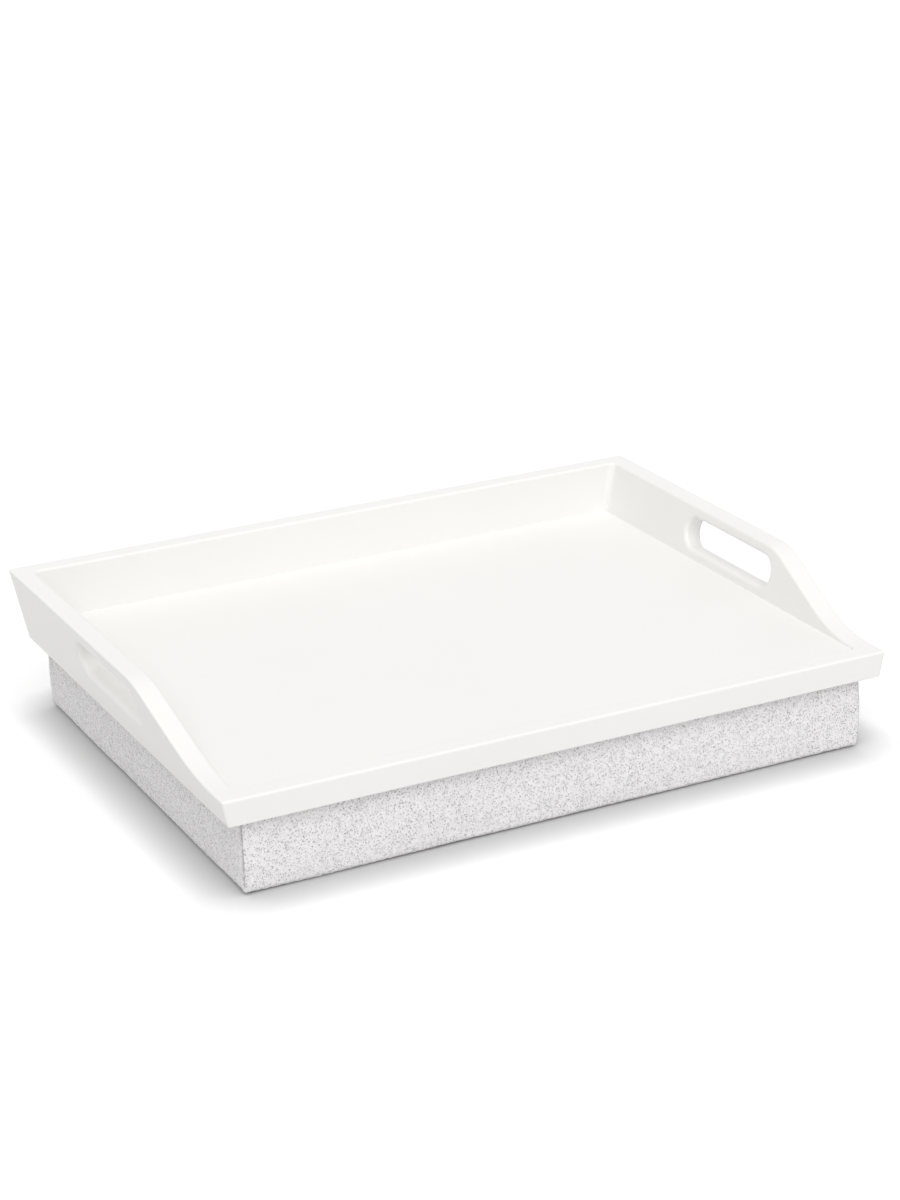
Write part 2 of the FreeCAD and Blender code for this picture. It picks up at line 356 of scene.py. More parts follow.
    @staticmethod
    def mirror(obj: Piece, name: str, ways: Point = MIRRORED, middle: Point = ORIGIN) -> Piece:
        """Makes a mirrored copy, which is the left-hand one if nothing else is said.

        Args:
            obj: the object.
            name: the copy's name.
            ways: -1 for each axis that is turned round, and 1 for the others.
            middle: the point that stays in place.

        Returns:
            The copy.
        """
        twin = Bench.copy(obj, name)
        with Bench.editing(twin, whole=True):
            bpy.ops.transform.resize(value=ways, center_override=middle)
            bpy.ops.mesh.normals_make_consistent(inside=False)
        return twin

    @staticmethod
    def join(pieces: Sequence[Piece], name: str) -> Piece:
        """Joins several objects into one.

        Args:
            pieces: the objects.
            name: the name of the whole.

        Returns:
            The whole.
        """
        Bench.take(pieces[0])
        for piece in pieces:
            piece.select_set(True)
        bpy.ops.object.join()
        pieces[0].name = name
        pieces[0].data.name = name
        return pieces[0]

    @staticmethod
    def row(obj: Piece, count: int, step: Point) -> None:
        """Repeats an object in a row.

        Args:
            obj: the object.
            count: how many there are in the end.
            step: the way from one to the next.
        """
        Bench.apply(
            obj,
            "ARRAY",
            count=count,
            use_relative_offset=False,
            use_constant_offset=True,
            constant_offset_displace=step,
        )

    @staticmethod
    def lay_flat(obj: Piece) -> None:
        """Gives an object a UV map in metres, seen along the axis that each face looks along most.

        Args:
            obj: the object.
        """
        layer = obj.data.uv_layers.new(name="cloth")
        corners = obj.data.vertices
        for face in obj.data.polygons:
            axis = max(range(3), key=lambda k: abs(face.normal[k]))
            across, up = [(1, 2), (0, 2), (0, 1)][axis]
            for loop in face.loop_indices:
                place = corners[obj.data.loops[loop].vertex_index].co
                layer.data[loop].uv = (place[across], place[up])


@dataclass(frozen=True)
class Stitch:
    """One size of stitch, and the rows that it makes."""

    length: float = 0.0023
    breadth: float = 0.0006
    pitch: float = 0.0031
    segments: int = 6
    rings: int = 5
    smooth: float = 80.0

    def count(self, run: float) -> int:
        """How many stitches fit along a run."""
        return int(run / self.pitch)

    def line(self, middle: Point, axis: int, count: int) -> Piece:
        """Sews a straight row.

        Args:
            middle: the middle of the row.
            axis: the axis that it runs along.
            count: how many stitches it has.

        Returns:
            The row.
        """
        size = [self.length if k == axis else self.breadth for k in range(3)]
        step = [self.pitch if k == axis else 0.0 for k in range(3)]
        start = [place - way * (count - 1) / 2 for place, way in zip(middle, step)]
        row = Bench.add(
            bpy.ops.mesh.primitive_uv_sphere_add,
            "stitch",
            segments=self.segments,
            ring_count=self.rings,
            radius=0.5,
            location=start,
            scale=size,
        )
        Bench.row(row, count, step)
        return row


# Finishes

class NodeSheet:
    """Adds and joins the nodes of one material or node group."""

    def __init__(self, tree: bpy.types.NodeTree) -> None:
        """Opens a node tree."""
        self.tree = tree

    def feed(self, socket: Socket, value: Any) -> None:
        """Joins another node's output to a socket, or sets its value.

        Args:
            socket: the socket that takes it.
            value: an output, or a plain value.
        """
        if isinstance(value, Socket):
            self.tree.links.new(value, socket)
        else:
            socket.default_value = value

    def add(self, kind: str, inputs: Optional[dict] = None, **settings: Any) -> Node:
        """Adds a node.

        Args:
            kind: the node's type, without its leading word.
            inputs: values or sockets for its inputs.
            settings: values for its properties.

        Returns:
            The node.
        """
        node = self.tree.nodes.new("ShaderNode" + kind)
        for name, value in settings.items():
            setattr(node, name, value)
        for key, value in (inputs or {}).items():
            self.feed(node.inputs[key], value)
        return node

    def maths(self, operation: str, first: Any, second: Any = 0.0) -> Socket:
        """Works out a number from one or two others."""
        return self.add("Math", {0: first, 1: second}, operation=operation).outputs[0]

    def vector(self, operation: str, first: Any, second: Any = ORIGIN) -> Socket:
        """Works out a vector from one or two others."""
        return self.add("VectorMath", {0: first, 1: second}, operation=operation).outputs[0]

    def scaled(self, vector: Any, factor: Any) -> Socket:
        """Makes a vector longer or shorter."""
        return self.add("VectorMath", {0: vector, "Scale": factor}, operation="SCALE").outputs[0]

    def ranged(self, value: Any, low: Any, high: Any, new_low: float, new_high: float) -> Socket:
        """Carries a value from one range to another, and stops at the new range's ends."""
        given = {"Value": value, "From Min": low, "From Max": high, "To Min": new_low, "To Max": new_high}
        return self.add("MapRange", given).outputs["Result"]

    def mixed(self, share: Any, first: Any, second: Any, blend: str = "MIX") -> Socket:
        """Mixes two colours."""
        given = {0: share, 6: first, 7: second}
        return self.add("Mix", given, data_type="RGBA", blend_type=blend).outputs[2]

    def noise(self, vector: Any, scale: Any, detail: float = 2.0) -> Node:
        """Adds cloudy noise."""
        return self.add("TexNoise", {"Vector": vector, "Scale": scale, "Detail": detail})

    def seen(self) -> Socket:
        """Gives 1 for a ray that looks straight at something or at its mirror image, and 0 for light."""
        path = self.add("LightPath").outputs
        return self.maths("MAXIMUM", path["Is Camera Ray"], path["Is Glossy Ray"])


class SharedEffect:
    """A node group that more than one finish uses."""

    name = "shared_effect"
    takes: tuple = ()
    gives: tuple = ()

    @classmethod
    def group(cls) -> bpy.types.NodeTree:
        """Gives the group, and builds it the first time.

        Returns:
            The node group.
        """
        made = bpy.data.node_groups.get(cls.name)
        if made is None:
            made = bpy.data.node_groups.new(cls.name, "ShaderNodeTree")
            for way, sockets in (("INPUT", cls.takes), ("OUTPUT", cls.gives)):
                for name, kind in sockets:
                    made.interface.new_socket(name=name, in_out=way, socket_type="NodeSocket" + kind)
            sheet = NodeSheet(made)
            entry = made.nodes.new("NodeGroupInput")
            leave = made.nodes.new("NodeGroupOutput")
            for name, socket in cls.draw(sheet, entry.outputs).items():
                sheet.feed(leave.inputs[name], socket)
        return made

    @classmethod
    def place(cls, sheet: NodeSheet, inputs: dict) -> Node:
        """Puts the group into a material with that material's values.

        Args:
            sheet: the material's nodes.
            inputs: values or sockets for the group's inputs.

        Returns:
            The group's node.
        """
        node = sheet.tree.nodes.new("ShaderNodeGroup")
        node.node_tree = cls.group()
        for key, value in inputs.items():
            sheet.feed(node.inputs[key], value)
        return node

    @classmethod
    def draw(cls, sheet: NodeSheet, given: Any) -> dict:
        """Draws the group's nodes and returns its outputs by name."""
        raise NotImplementedError


class ThreadWeave(SharedEffect):
    """Woven cloth: threads that pass over and under each other, each dyed a little differently."""

    name = "thread_weave"
    takes = (
        ("Vector", "Vector"),
        ("Pitch", "Float"),
        ("Wander", "Float"),
        ("Dark Share", "Float"),
        ("Light", "Color"),
        ("Middle", "Color"),
        ("Dark", "Color"),
    )
    gives = (("Color", "Color"), ("Height", "Float"))
    drift_scale = 1.7
    warp_seed = 57.0
    yarns_per_thread = 0.85
    yarn_stagger = 9.0
    twill_repeat = 4.0
    twill_over = 1.5
    fibre_scale = 3.0
    fibre_span = (0.3, 0.7)
    fibre_tones = (0.94, 1.06)
    pillow_power = 0.5
    thread_heights = (0.7, 1.0)
    # Painted shade between the threads: below this height the colour is darkened, between these tones.
    gap_shade_height = 0.45
    gap_shade_tones = (0.94, 1.0)

    @classmethod
    def draw(cls, sheet: NodeSheet, given: Any) -> dict:
        """Draws a twill: short lengths of thread with a tone of their own, over two and under two, with
        shade painted into the hollows between the threads.

        Args:
            sheet: the group's nodes.
            given: the group's inputs.

        Returns:
            The colour and the height.
        """
        counted = sheet.scaled(given["Vector"], sheet.maths("DIVIDE", 1.0, given["Pitch"]))
        clouds = sheet.noise(counted, cls.drift_scale).outputs["Color"]
        drift = sheet.vector("SUBTRACT", clouds, (0.5, 0.5, 0.5))
        moved = sheet.vector("ADD", counted, sheet.scaled(drift, given["Wander"]))
        place = sheet.add("SeparateXYZ", {0: moved}).outputs
        cell = sheet.add("SeparateXYZ", {0: sheet.vector("FLOOR", moved)}).outputs
        within = sheet.add("SeparateXYZ", {0: sheet.vector("FRACTION", moved)}).outputs
        weft = cls.thread(sheet, place[0], cell[1], 0.0)
        warp = cls.thread(sheet, place[1], cell[0], cls.warp_seed)
        step = sheet.maths("FLOORED_MODULO", sheet.maths("ADD", cell[0], cell[1]), cls.twill_repeat)
        over = sheet.maths("LESS_THAN", step, cls.twill_over)
        tone = sheet.add("Mix", {0: over, 2: warp, 3: weft}).outputs[0]
        dark = sheet.ranged(tone, 0.0, given["Dark Share"], 1.0, 0.0)
        light = sheet.ranged(tone, given["Dark Share"], 1.0, 0.0, 1.0)
        dyed = sheet.mixed(dark, given["Middle"], given["Dark"])
        dyed = sheet.mixed(light, dyed, given["Light"])
        fibres = sheet.noise(moved, cls.fibre_scale, 3.0).outputs["Fac"]
        fibres = sheet.ranged(fibres, *cls.fibre_span, *cls.fibre_tones)
        swell = [sheet.maths("SINE", sheet.maths("MULTIPLY", within[k], math.pi)) for k in (0, 1)]
        pillow = sheet.maths("POWER", sheet.maths("MULTIPLY", *swell), cls.pillow_power)
        height = sheet.maths("MULTIPLY", pillow, sheet.ranged(tone, 0.0, 1.0, *cls.thread_heights))
        # Painted shade: the colour is darkened where the threads dip between crossings.
        hollow = sheet.ranged(height, 0.0, cls.gap_shade_height, *cls.gap_shade_tones)
        # depth is the random fibre tone times that painted shade.
        depth = sheet.maths("MULTIPLY", fibres, hollow)
        return {"Color": sheet.mixed(1.0, dyed, depth, "MULTIPLY"), "Height": height}

    @classmethod
    def thread(cls, sheet: NodeSheet, along: Socket, number: Socket, seed: float) -> Socket:
        """Gives the lengths of yarn in one set of threads a tone each.

        Args:
            sheet: the group's nodes.
            along: the place along the thread.
            number: which thread it is.
            seed: keeps the two sets apart.

        Returns:
            The tone, from 0 to 1.
        """
        shifted = sheet.maths("ADD", number, seed)
        offset = sheet.add("TexWhiteNoise", {"W": shifted}, noise_dimensions="1D").outputs["Value"]
        yarns = sheet.maths("MULTIPLY", along, cls.yarns_per_thread)
        length = sheet.maths("ADD", yarns, sheet.maths("MULTIPLY", offset, cls.yarn_stagger))
        spot = sheet.add("CombineXYZ", {0: sheet.maths("FLOOR", length), 1: shifted}).outputs[0]
        return sheet.add("TexWhiteNoise", {"Vector": spot}, noise_dimensions="2D").outputs["Value"]


class FineMottle(SharedEffect):
    """Soft unevenness of tone, and the fine grain that a surface has up close."""

    name = "fine_mottle"
    takes = (("Vector", "Vector"), ("Patch", "Float"), ("Grain", "Float"), ("Amount", "Float"))
    gives = (("Tone", "Float"), ("Height", "Float"))

    @classmethod
    def draw(cls, sheet: NodeSheet, given: Any) -> dict:
        """Draws broad patches and fine grain, both from noise at sizes in metres.

        Args:
            sheet: the group's nodes.
            given: the group's inputs.

        Returns:
            The tone, about 1, and the height.
        """
        broad = sheet.noise(given["Vector"], sheet.maths("DIVIDE", 1.0, given["Patch"]), 3.0)
        fine = sheet.noise(given["Vector"], sheet.maths("DIVIDE", 1.0, given["Grain"]))
        centred = sheet.maths("SUBTRACT", broad.outputs["Fac"], 0.5)
        tone = sheet.maths("ADD", 1.0, sheet.maths("MULTIPLY", centred, given["Amount"]))
        return {"Tone": tone, "Height": fine.outputs["Fac"]}


@dataclass(frozen=True)
class Finish:
    """What all finishes share: a name, a colour in linear light and how rough the surface is."""

    name: str
    colour: tuple
    roughness: float

    def material(self) -> bpy.types.Material:
        """Gives the finish as a material, and makes it the first time.

        Returns:
            The material.
        """
        made = bpy.data.materials.get(self.name)
        if made is None:
            made = bpy.data.materials.new(self.name)
            made.use_nodes = True
            sheet = NodeSheet(made.node_tree)
            shader = made.node_tree.nodes["Principled BSDF"]
            shader.inputs["Roughness"].default_value = self.roughness
            made.diffuse_color = (*self.colour, 1.0)
            self.dress(sheet, shader)
        return made

    def dress(self, sheet: NodeSheet, shader: Node) -> None:
        """Joins the finish's nodes to the shader."""
        raise NotImplementedError

    def bump(self, sheet: NodeSheet, shader: Node, height: Socket, depth: float, share: float) -> None:
        """Lets a height from 0 to 1 show as relief of a depth, by a share."""
        relief = sheet.add("Bump", {"Strength": share, "Distance": depth, "Height": height})
        sheet.feed(shader.inputs["Normal"], relief.outputs["Normal"])


@dataclass(frozen=True)
class Cloth(Finish):
    """Woven cloth, read from the piece's own map."""

    middle: tuple = (0.6, 0.6, 0.61)
    dark: tuple = (0.3, 0.3, 0.31)
    pitch: float = 0.001
    wander: float = 0.8
    dark_share: float = 0.27
    relief: float = 0.0004
    sheen: float = 0.25
    # Painted shade at the seams: whether the colour is darkened there, and the tone that it falls to at a
    # seam.
    paints_seam_shade: bool = False
    blotch: float = 0.03
    blotch_share: float = 0.12
    grain: float = 0.0004
    nap: float = 0.6
    specular: float = 0.15
    fuzz: float = 0.4
    relief_share: float = 0.6
    seam_shade_tone: float = 0.25

    def dress(self, sheet: NodeSheet, shader: Node) -> None:
        """Weaves the threads, paints shade into the seams if the piece has them, and adds a soft nap.

        Args:
            sheet: the material's nodes.
            shader: its shader.
        """
        given = {
            "Vector": sheet.add("UVMap", uv_map="cloth").outputs["UV"],
            "Pitch": self.pitch,
            "Wander": self.wander,
            "Dark Share": self.dark_share,
            "Light": (*self.colour, 1.0),
            "Middle": (*self.middle, 1.0),
            "Dark": (*self.dark, 1.0),
        }
        weave = ThreadWeave.place(sheet, given)
        place = sheet.add("TexCoord").outputs["Object"]
        patches = {"Vector": place, "Patch": self.blotch, "Grain": self.grain, "Amount": self.blotch_share}
        mottle = FineMottle.place(sheet, patches)
        tint = sheet.mixed(1.0, weave.outputs["Color"], mottle.outputs["Tone"], "MULTIPLY")
        if self.paints_seam_shade:
            # Painted shade: the 'seam' attribute darkens the colour along the seams, where the cloth
            # creases.
            seam = sheet.add("Attribute", attribute_name="seam").outputs["Fac"]
            tint = sheet.mixed(1.0, tint, sheet.ranged(seam, 0.0, 1.0, 1.0, self.seam_shade_tone), "MULTIPLY")
        sheet.feed(shader.inputs["Base Color"], tint)
        sheet.feed(shader.inputs["Sheen Weight"], self.sheen)
        sheet.feed(shader.inputs["Sheen Roughness"], self.nap)
        sheet.feed(shader.inputs["Specular IOR Level"], self.specular)
        fuzz = sheet.maths("MULTIPLY", mottle.outputs["Height"], self.fuzz)
        height = sheet.maths("ADD", weave.outputs["Height"], fuzz)
        self.bump(sheet, shader, height, self.relief, self.relief_share)


@dataclass(frozen=True)
class Grained(Finish):
    """A plain or painted surface with broad patches and fine grain."""

    patch: float = 0.02
    grain: float = 0.0008
    amount: float = 0.15
    depth: float = 0.0002
    metallic: float = 0.0
    stretch: tuple = (1.0, 1.0, 1.0)
    swing: float = 0.08
    relief_share: float = 0.4
    grain_span: tuple = (0.2, 0.8)

    def dress(self, sheet: NodeSheet, shader: Node) -> None:
        """Gives the surface its patches and its grain, drawn out along one axis where it has a direction.

        Args:
            sheet: the material's nodes.
            shader: its shader.
        """
        place = sheet.add("TexCoord").outputs["Object"]
        drawn = sheet.add("Mapping", {"Vector": place, "Scale": self.stretch}).outputs[0]
        given = {"Vector": drawn, "Patch": self.patch, "Grain": self.grain, "Amount": self.amount}
        mottle = FineMottle.place(sheet, given)
        tint = sheet.mixed(1.0, (*self.colour, 1.0), mottle.outputs["Tone"], "MULTIPLY")
        sheet.feed(shader.inputs["Base Color"], tint)
        ends = (self.roughness - self.swing, self.roughness + self.swing)
        rough = sheet.ranged(mottle.outputs["Height"], *self.grain_span, *ends)
        sheet.feed(shader.inputs["Roughness"], rough)
        sheet.feed(shader.inputs["Metallic"], self.metallic)
        self.bump(sheet, shader, mottle.outputs["Height"], self.depth, self.relief_share)


PAINT = Grained(
    "satin_white_paint",
    (0.87, 0.864, 0.845),
    0.38,
    patch=0.09,
    grain=0.0011,
    amount=0.03,
    depth=0.00012,
    swing=0.05,
    relief_share=0.25,
)
HEATHER = Cloth(
    "heathered_weave",
    (1.0, 0.985, 0.992),
    0.9,
    middle=(0.98, 0.965, 0.975),
    dark=(0.3, 0.295, 0.305),
    pitch=0.0005,
    dark_share=0.25,
    paints_seam_shade=True,
    blotch=0.003,
    blotch_share=0.45,
)
HOOK_CLOTH = Cloth(
    "hook_tape_cloth",
    (0.8, 0.8, 0.79),
    0.7,
    middle=(0.74, 0.74, 0.73),
    dark=(0.66, 0.66, 0.65),
    pitch=0.0006,
    wander=0.1,
    dark_share=0.2,
    relief=0.0001,
)
LOOP_CLOTH = Cloth(
    "loop_tape_cloth",
    (0.8, 0.8, 0.79),
    0.95,
    middle=(0.72, 0.72, 0.71),
    dark=(0.6, 0.6, 0.59),
    pitch=0.0005,
    wander=1.5,
    dark_share=0.25,
    sheen=0.6,
)
ZIP_CLOTH = Cloth(
    "zip_tape_cloth",
    (0.66, 0.66, 0.67),
    0.85,
    middle=(0.6, 0.6, 0.61),
    dark=(0.52, 0.52, 0.53),
    pitch=0.0007,
    wander=0.1,
    dark_share=0.2,
    relief=0.00015,
)
THREAD = Grained("sewing_thread", (0.78, 0.78, 0.79), 0.6, 0.004, 0.0003, 0.2, 0.0001)
NYLON = Grained("satin_nylon", (0.7, 0.7, 0.71), 0.4, 0.006, 0.0006, 0.12, 0.00005)
NICKEL = Grained(
    "satin_nickel", (0.68, 0.675, 0.665), 0.3, 0.004, 0.0003, 0.12, 0.00003, 1.0, (1.0, 1.0, 0.2)
)
BEECH = Grained(
    "plain_beech", (0.62, 0.43, 0.25), 0.6, 0.004, 0.0006, 0.5, 0.0001, stretch=(0.12, 1.0, 1.0)
)
FOAM = Grained("open_cell_foam", (0.85, 0.8, 0.62), 0.95, 0.012, 0.0012, depth=0.0008)


def dress_piece(obj: Piece, finish: Finish) -> None:
    """Puts a finish on a piece.

    Args:
        obj: the piece.
        finish: its finish.
    """
    obj.data.materials.clear()
    obj.data.materials.append(finish.material())


def seat(obj: Piece, finish: Finish, slot: Slot, body: Body, *nodes: str) -> None:
    """Finishes a piece and sets it on its body.

    Args:
        obj: the piece.
        finish: its finish.
        slot: not used.
        body: the body that it rides on.
        nodes: the CAD nodes that it stands for.
    """
    dress_piece(obj, finish)
    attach(obj, body.value)
    if nodes:
        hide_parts(*nodes)
    log.info("%s on %s, %d faces", obj.name, body.value, len(obj.data.polygons))


# Tray

@dataclass
class Tray:
    """The painted tray: a floor, two rails and two leaning sides with hand holes."""

    base: float = 0.0463
    bottom_width: float = 0.425
    depth: float = 0.328
    wall_height: float = 0.048
    flare: float = 0.010
    board: float = 0.013
    floor_low: float = 0.0025
    floor_high: float = 0.0145
    front_lip: float = 0.0015
    tongue_low: float = 0.0055
    tongue_high: float = 0.0115
    tongue_length: float = 0.003
    tongue_band: float = 0.002
    groove_clearance: float = 0.0001
    hole_length: float = 0.100
    hole_height: float = 0.020
    hole_margin: float = 0.0001
    hole_band: float = 0.56
    grip_height: float = 0.0085
    shoulder_overlap: float = 0.010
    shoulder_radius: float = 0.050
    toe_radius: float = 0.120
    toe_level: float = 0.015
    hole_round: Round = Round(0.003, 6)
    back_round: Round = Round(0.0025, 5)
    edge_round: Round = Round(0.0015, 4)
    foot_round: Round = Round(0.0008, 2)
    fill_round: float = 0.0045
    fill_reach: float = 0.98
    fill_hold: float = 0.0028
    fill_rise: float = 0.00001
    hollow_reach: float = 1.1
    ease_gap: float = 0.0005
    joint_cut: float = 0.002
    fall_steps: int = 44
    round_sides: int = 64
    overrun: float = 0.010

    @property
    def half_depth(self) -> float:
        """Half of the depth from front to back."""
        return self.depth / 2

    @property
    def inner_depth(self) -> float:
        """How far the rails' inner faces stand from the middle."""
        return self.half_depth - self.board

    @property
    def front_height(self) -> float:
        """The height of the front rail."""
        return self.floor_high + self.front_lip

    @property
    def lean(self) -> float:
        """The angle by which the sides lean out."""
        return math.atan2(self.flare, self.wall_height)

    @property
    def hole_level(self) -> float:
        """The height of the hand holes' middle."""
        return self.wall_height - self.grip_height - self.hole_height / 2

    @property
    def ease_end(self) -> float:
        """How far from the middle the sides' inner top edges are eased, just short of the rails."""
        return self.inner_depth - self.ease_gap

    @property
    def shoulder(self) -> float:
        """Where the S curve leaves the level top."""
        return -self.hole_length / 2 + self.shoulder_overlap

    @property
    def toe(self) -> float:
        """Where the S curve comes down to the front rail's height."""
        return -self.half_depth + self.toe_level

    def inner_face(self, height: float) -> float:
        """How far the inner face of a side stands from the middle at a height."""
        return self.bottom_width / 2 - self.board + self.flare * height / self.wall_height

    def lean_plane(self, offset: float) -> tuple:
        """The plane of a right-hand side's face, some way outside the inner face, measured level."""
        point = Vector((self.inner_face(0.0) + offset, 0.0, self.base))
        return point, Vector((math.cos(self.lean), 0.0, -math.sin(self.lean)))

    def span(self, name: str, low: float, high: float, reach: float, front: float, back: float) -> Piece:
        """A block from side to side whose ends lean as the sides do.

        Args:
            name: the object's name.
            low: its lower height.
            high: its upper height.
            reach: how far it runs into the sides.
            front: its front face.
            back: its back face.

        Returns:
            The block.
        """
        half = self.inner_face(self.wall_height) + reach + self.overrun
        obj = Bench.block(name, (-half, front, self.base + low), (half, back, self.base + high))
        point, normal = self.lean_plane(reach)
        mirrored = Vector(MIRRORED)
        Bench.saw(obj, point, normal, Keep.BEHIND)
        Bench.saw(obj, point * mirrored, normal * mirrored, Keep.BEHIND)
        return obj

    def groove_cutter(self) -> Piece:
        """The shape of the floor's tongue with its clearance.

        Returns:
            The cutter.
        """
        reach = self.tongue_length + self.groove_clearance
        low = self.tongue_low - self.groove_clearance
        high = self.tongue_high + self.groove_clearance
        end = self.inner_depth + reach
        return self.span("groove", low, high, reach, -end, end)

    def fall(self, y: float) -> float:
        """The height of a side's top along its S curve, which is two arcs and a straight slope.

        Args:
            y: the distance from the middle of the tray.

        Returns:
            The height above the side's foot.
        """
        run, drop = self.shoulder - self.toe, self.wall_height - self.front_height
        both = self.shoulder_radius + self.toe_radius
        slope = math.atan2(run, both - drop) - math.acos(both / math.hypot(run, both - drop))
        shoulder_end = self.shoulder - self.shoulder_radius * math.sin(slope)
        toe_end = self.toe + self.toe_radius * math.sin(slope)
        if y >= self.shoulder:
            return self.wall_height
        if y >= shoulder_end:
            rise = math.sqrt(self.shoulder_radius ** 2 - (self.shoulder - y) ** 2)
            return self.wall_height - self.shoulder_radius + rise
        if y >= toe_end:
            shoulder_low = self.wall_height - self.shoulder_radius * (1 - math.cos(slope))
            return shoulder_low - (shoulder_end - y) * math.tan(slope)
        if y >= self.toe:
            rise = math.sqrt(self.toe_radius ** 2 - (y - self.toe) ** 2)
            return self.front_height + self.toe_radius - rise
        return self.front_height

    def hand_hole(self) -> Piece:
        """The round-ended cutter of the right hand hole, square to the leaning side.

        Returns:
            The cutter.
        """
        radius, height = self.hole_height / 2, self.hole_level
        middle = Vector((self.inner_face(height) + self.board / 2, 0.0, self.base + height))
        _, out = self.lean_plane(0.0)
        reach = out * (self.board + self.overrun)
        cutter = Bench.rod("hand_hole", radius, middle - reach, middle + reach, self.round_sides)
        straight = self.hole_length / 2 - radius
        with Bench.editing(cutter, Pick.VERTICES):
            for way in BOTH_WAYS:
                Bench.select(cutter, Pick.VERTICES, lambda v: v.co.y * way > TINY)
                bpy.ops.transform.translate(value=(0.0, way * straight, 0.0))
        return cutter

    def right_side(self) -> Piece:
        """Saws the right side to its S curve and its lean, cuts its hand hole and eases its edges.

        Returns:
            The side.
        """
        top = self.base + self.wall_height
        near = self.inner_face(0.0) - self.overrun
        far = self.inner_face(self.wall_height) + self.board + self.overrun
        obj = Bench.block("right_side", (near, -self.half_depth, self.base), (far, self.half_depth, top))
        run = self.shoulder - self.toe
        stations = [self.toe + run * k / self.fall_steps for k in range(self.fall_steps + 1)]
        for y in stations:
            Bench.saw(obj, (0.0, y, 0.0), BACK)
        with Bench.editing(obj, Pick.VERTICES):
            for y in [-self.half_depth] + stations:
                drop = self.fall(y) - self.wall_height
                Bench.select(obj, Pick.VERTICES, lambda v: abs(v.co.y - y) < TINY and v.co.z > top - TINY)
                bpy.ops.transform.translate(value=(0.0, 0.0, drop))
        Bench.saw(obj, *self.lean_plane(0.0), Keep.AHEAD)
        Bench.saw(obj, *self.lean_plane(self.board), Keep.BEHIND)
        Bench.saw(obj, *self.lean_plane(self.joint_cut))
        for y in (self.ease_end, self.ease_end + self.joint_cut):
            Bench.saw(obj, (0.0, y, 0.0), BACK)
            Bench.saw(obj, (0.0, -y, 0.0), BACK)
        Bench.carve(obj, self.hand_hole())
        self.ease_side(obj)
        Bench.carve(obj, self.groove_cutter())
        return obj

    def ease_side(self, obj: Piece) -> None:
        """Rounds the hand hole over and eases the outer edges of a side.

        Args:
            obj: the side.
        """
        faces = [self.lean_plane(offset) for offset in (0.0, self.board)]
        inner = self.ease_end - SMALL
        reach = self.hole_length / 2 + self.hole_margin
        band = self.hole_height * self.hole_band

        def on_plane(vertex: Any, plane: tuple) -> bool:
            """Whether a vertex lies on a plane."""
            return abs((vertex.co - plane[0]).dot(plane[1])) < TINY

        def at_hole(vertex: Any) -> bool:
            """Whether a vertex lies at the hand hole."""
            return abs(vertex.co.y) < reach and abs(vertex.co.z - self.base - self.hole_level) < band

        def hole_edge(edge: Any) -> bool:
            """Whether an edge runs round the hand hole on either face."""
            on_face = all(any(on_plane(v, plane) for plane in faces) for v in edge.verts)
            return Bench.turned(edge) and on_face and all(at_hole(v) for v in edge.verts)

        def back_edge(edge: Any) -> bool:
            """Whether an edge is the upright one at the back, outside."""
            return all(on_plane(v, faces[1]) and v.co.y > self.half_depth - TINY for v in edge.verts)

        def open_edge(edge: Any) -> bool:
            """Whether an edge is sharp, away from the hand hole and not where a rail meets the side."""
            joint = all(on_plane(v, faces[0]) and abs(v.co.y) > inner for v in edge.verts)
            return Bench.turned(edge) and not joint and not all(at_hole(v) for v in edge.verts)

        def low(edge: Any) -> bool:
            """Whether an edge lies at the foot."""
            return all(v.co.z < self.base + SMALL for v in edge.verts)

        def foot_edge(edge: Any) -> bool:
            """Whether an edge of the foot is open and not on the inner face."""
            inside = all(on_plane(v, faces[0]) for v in edge.verts)
            return open_edge(edge) and low(edge) and not inside

        Bench.ease(obj, self.hole_round, hole_edge)
        Bench.ease(obj, self.back_round, back_edge)
        Bench.ease(obj, self.edge_round, lambda edge: open_edge(edge) and not low(edge))
        Bench.ease(obj, self.foot_round, foot_edge)

    def rail(self, name: str, front: float, back: float, height: float) -> Piece:
        """A rail between the sides, with eased long edges and the floor's groove.

        Args:
            name: the object's name.
            front: its front face.
            back: its back face.
            height: its height.

        Returns:
            The rail.
        """
        obj = self.span(name, 0.0, height, 0.0, front, back)

        def level(edge: Any, z: float) -> bool:
            """Whether an edge lies at a height."""
            return all(abs(v.co.z - self.base - z) < TINY for v in edge.verts)

        def top(edge: Any) -> bool:
            """Whether an edge runs along the top."""
            run = edge.verts[0].co - edge.verts[1].co
            return level(edge, height) and abs(run.x) > abs(run.y)

        def foot(edge: Any) -> bool:
            """Whether an edge is the outer one of the foot."""
            outside = all(abs(v.co.y) > self.half_depth - TINY for v in edge.verts)
            return level(edge, 0.0) and outside

        Bench.ease(obj, self.edge_round, top)
        Bench.ease(obj, self.foot_round, foot)
        Bench.carve(obj, self.groove_cutter())
        return obj

    def floor(self) -> Piece:
        """The floor board, with the tongue that runs round its edges.

        Returns:
            The board.
        """
        inner = self.inner_depth
        obj = self.span("tray_floor_board", self.floor_low, self.floor_high, 0.0, -inner, inner)
        for height in (self.tongue_low, self.tongue_high):
            Bench.saw(obj, (0.0, 0.0, self.base + height), UP)
        middle = self.base + (self.tongue_low + self.tongue_high) / 2

        def tongue(face: Any) -> bool:
            """Whether a face is an edge of the board at the tongue's height."""
            gap = abs(face.calc_center_median().z - middle)
            return abs(face.normal.z) < ALONG and gap < self.tongue_band

        with Bench.editing(obj):
            Bench.select(obj, Pick.FACES, tongue)
            bpy.ops.mesh.extrude_region_shrink_fatten(
                TRANSFORM_OT_shrink_fatten={"value": self.tongue_length, "use_even_offset": True}
            )
        return obj

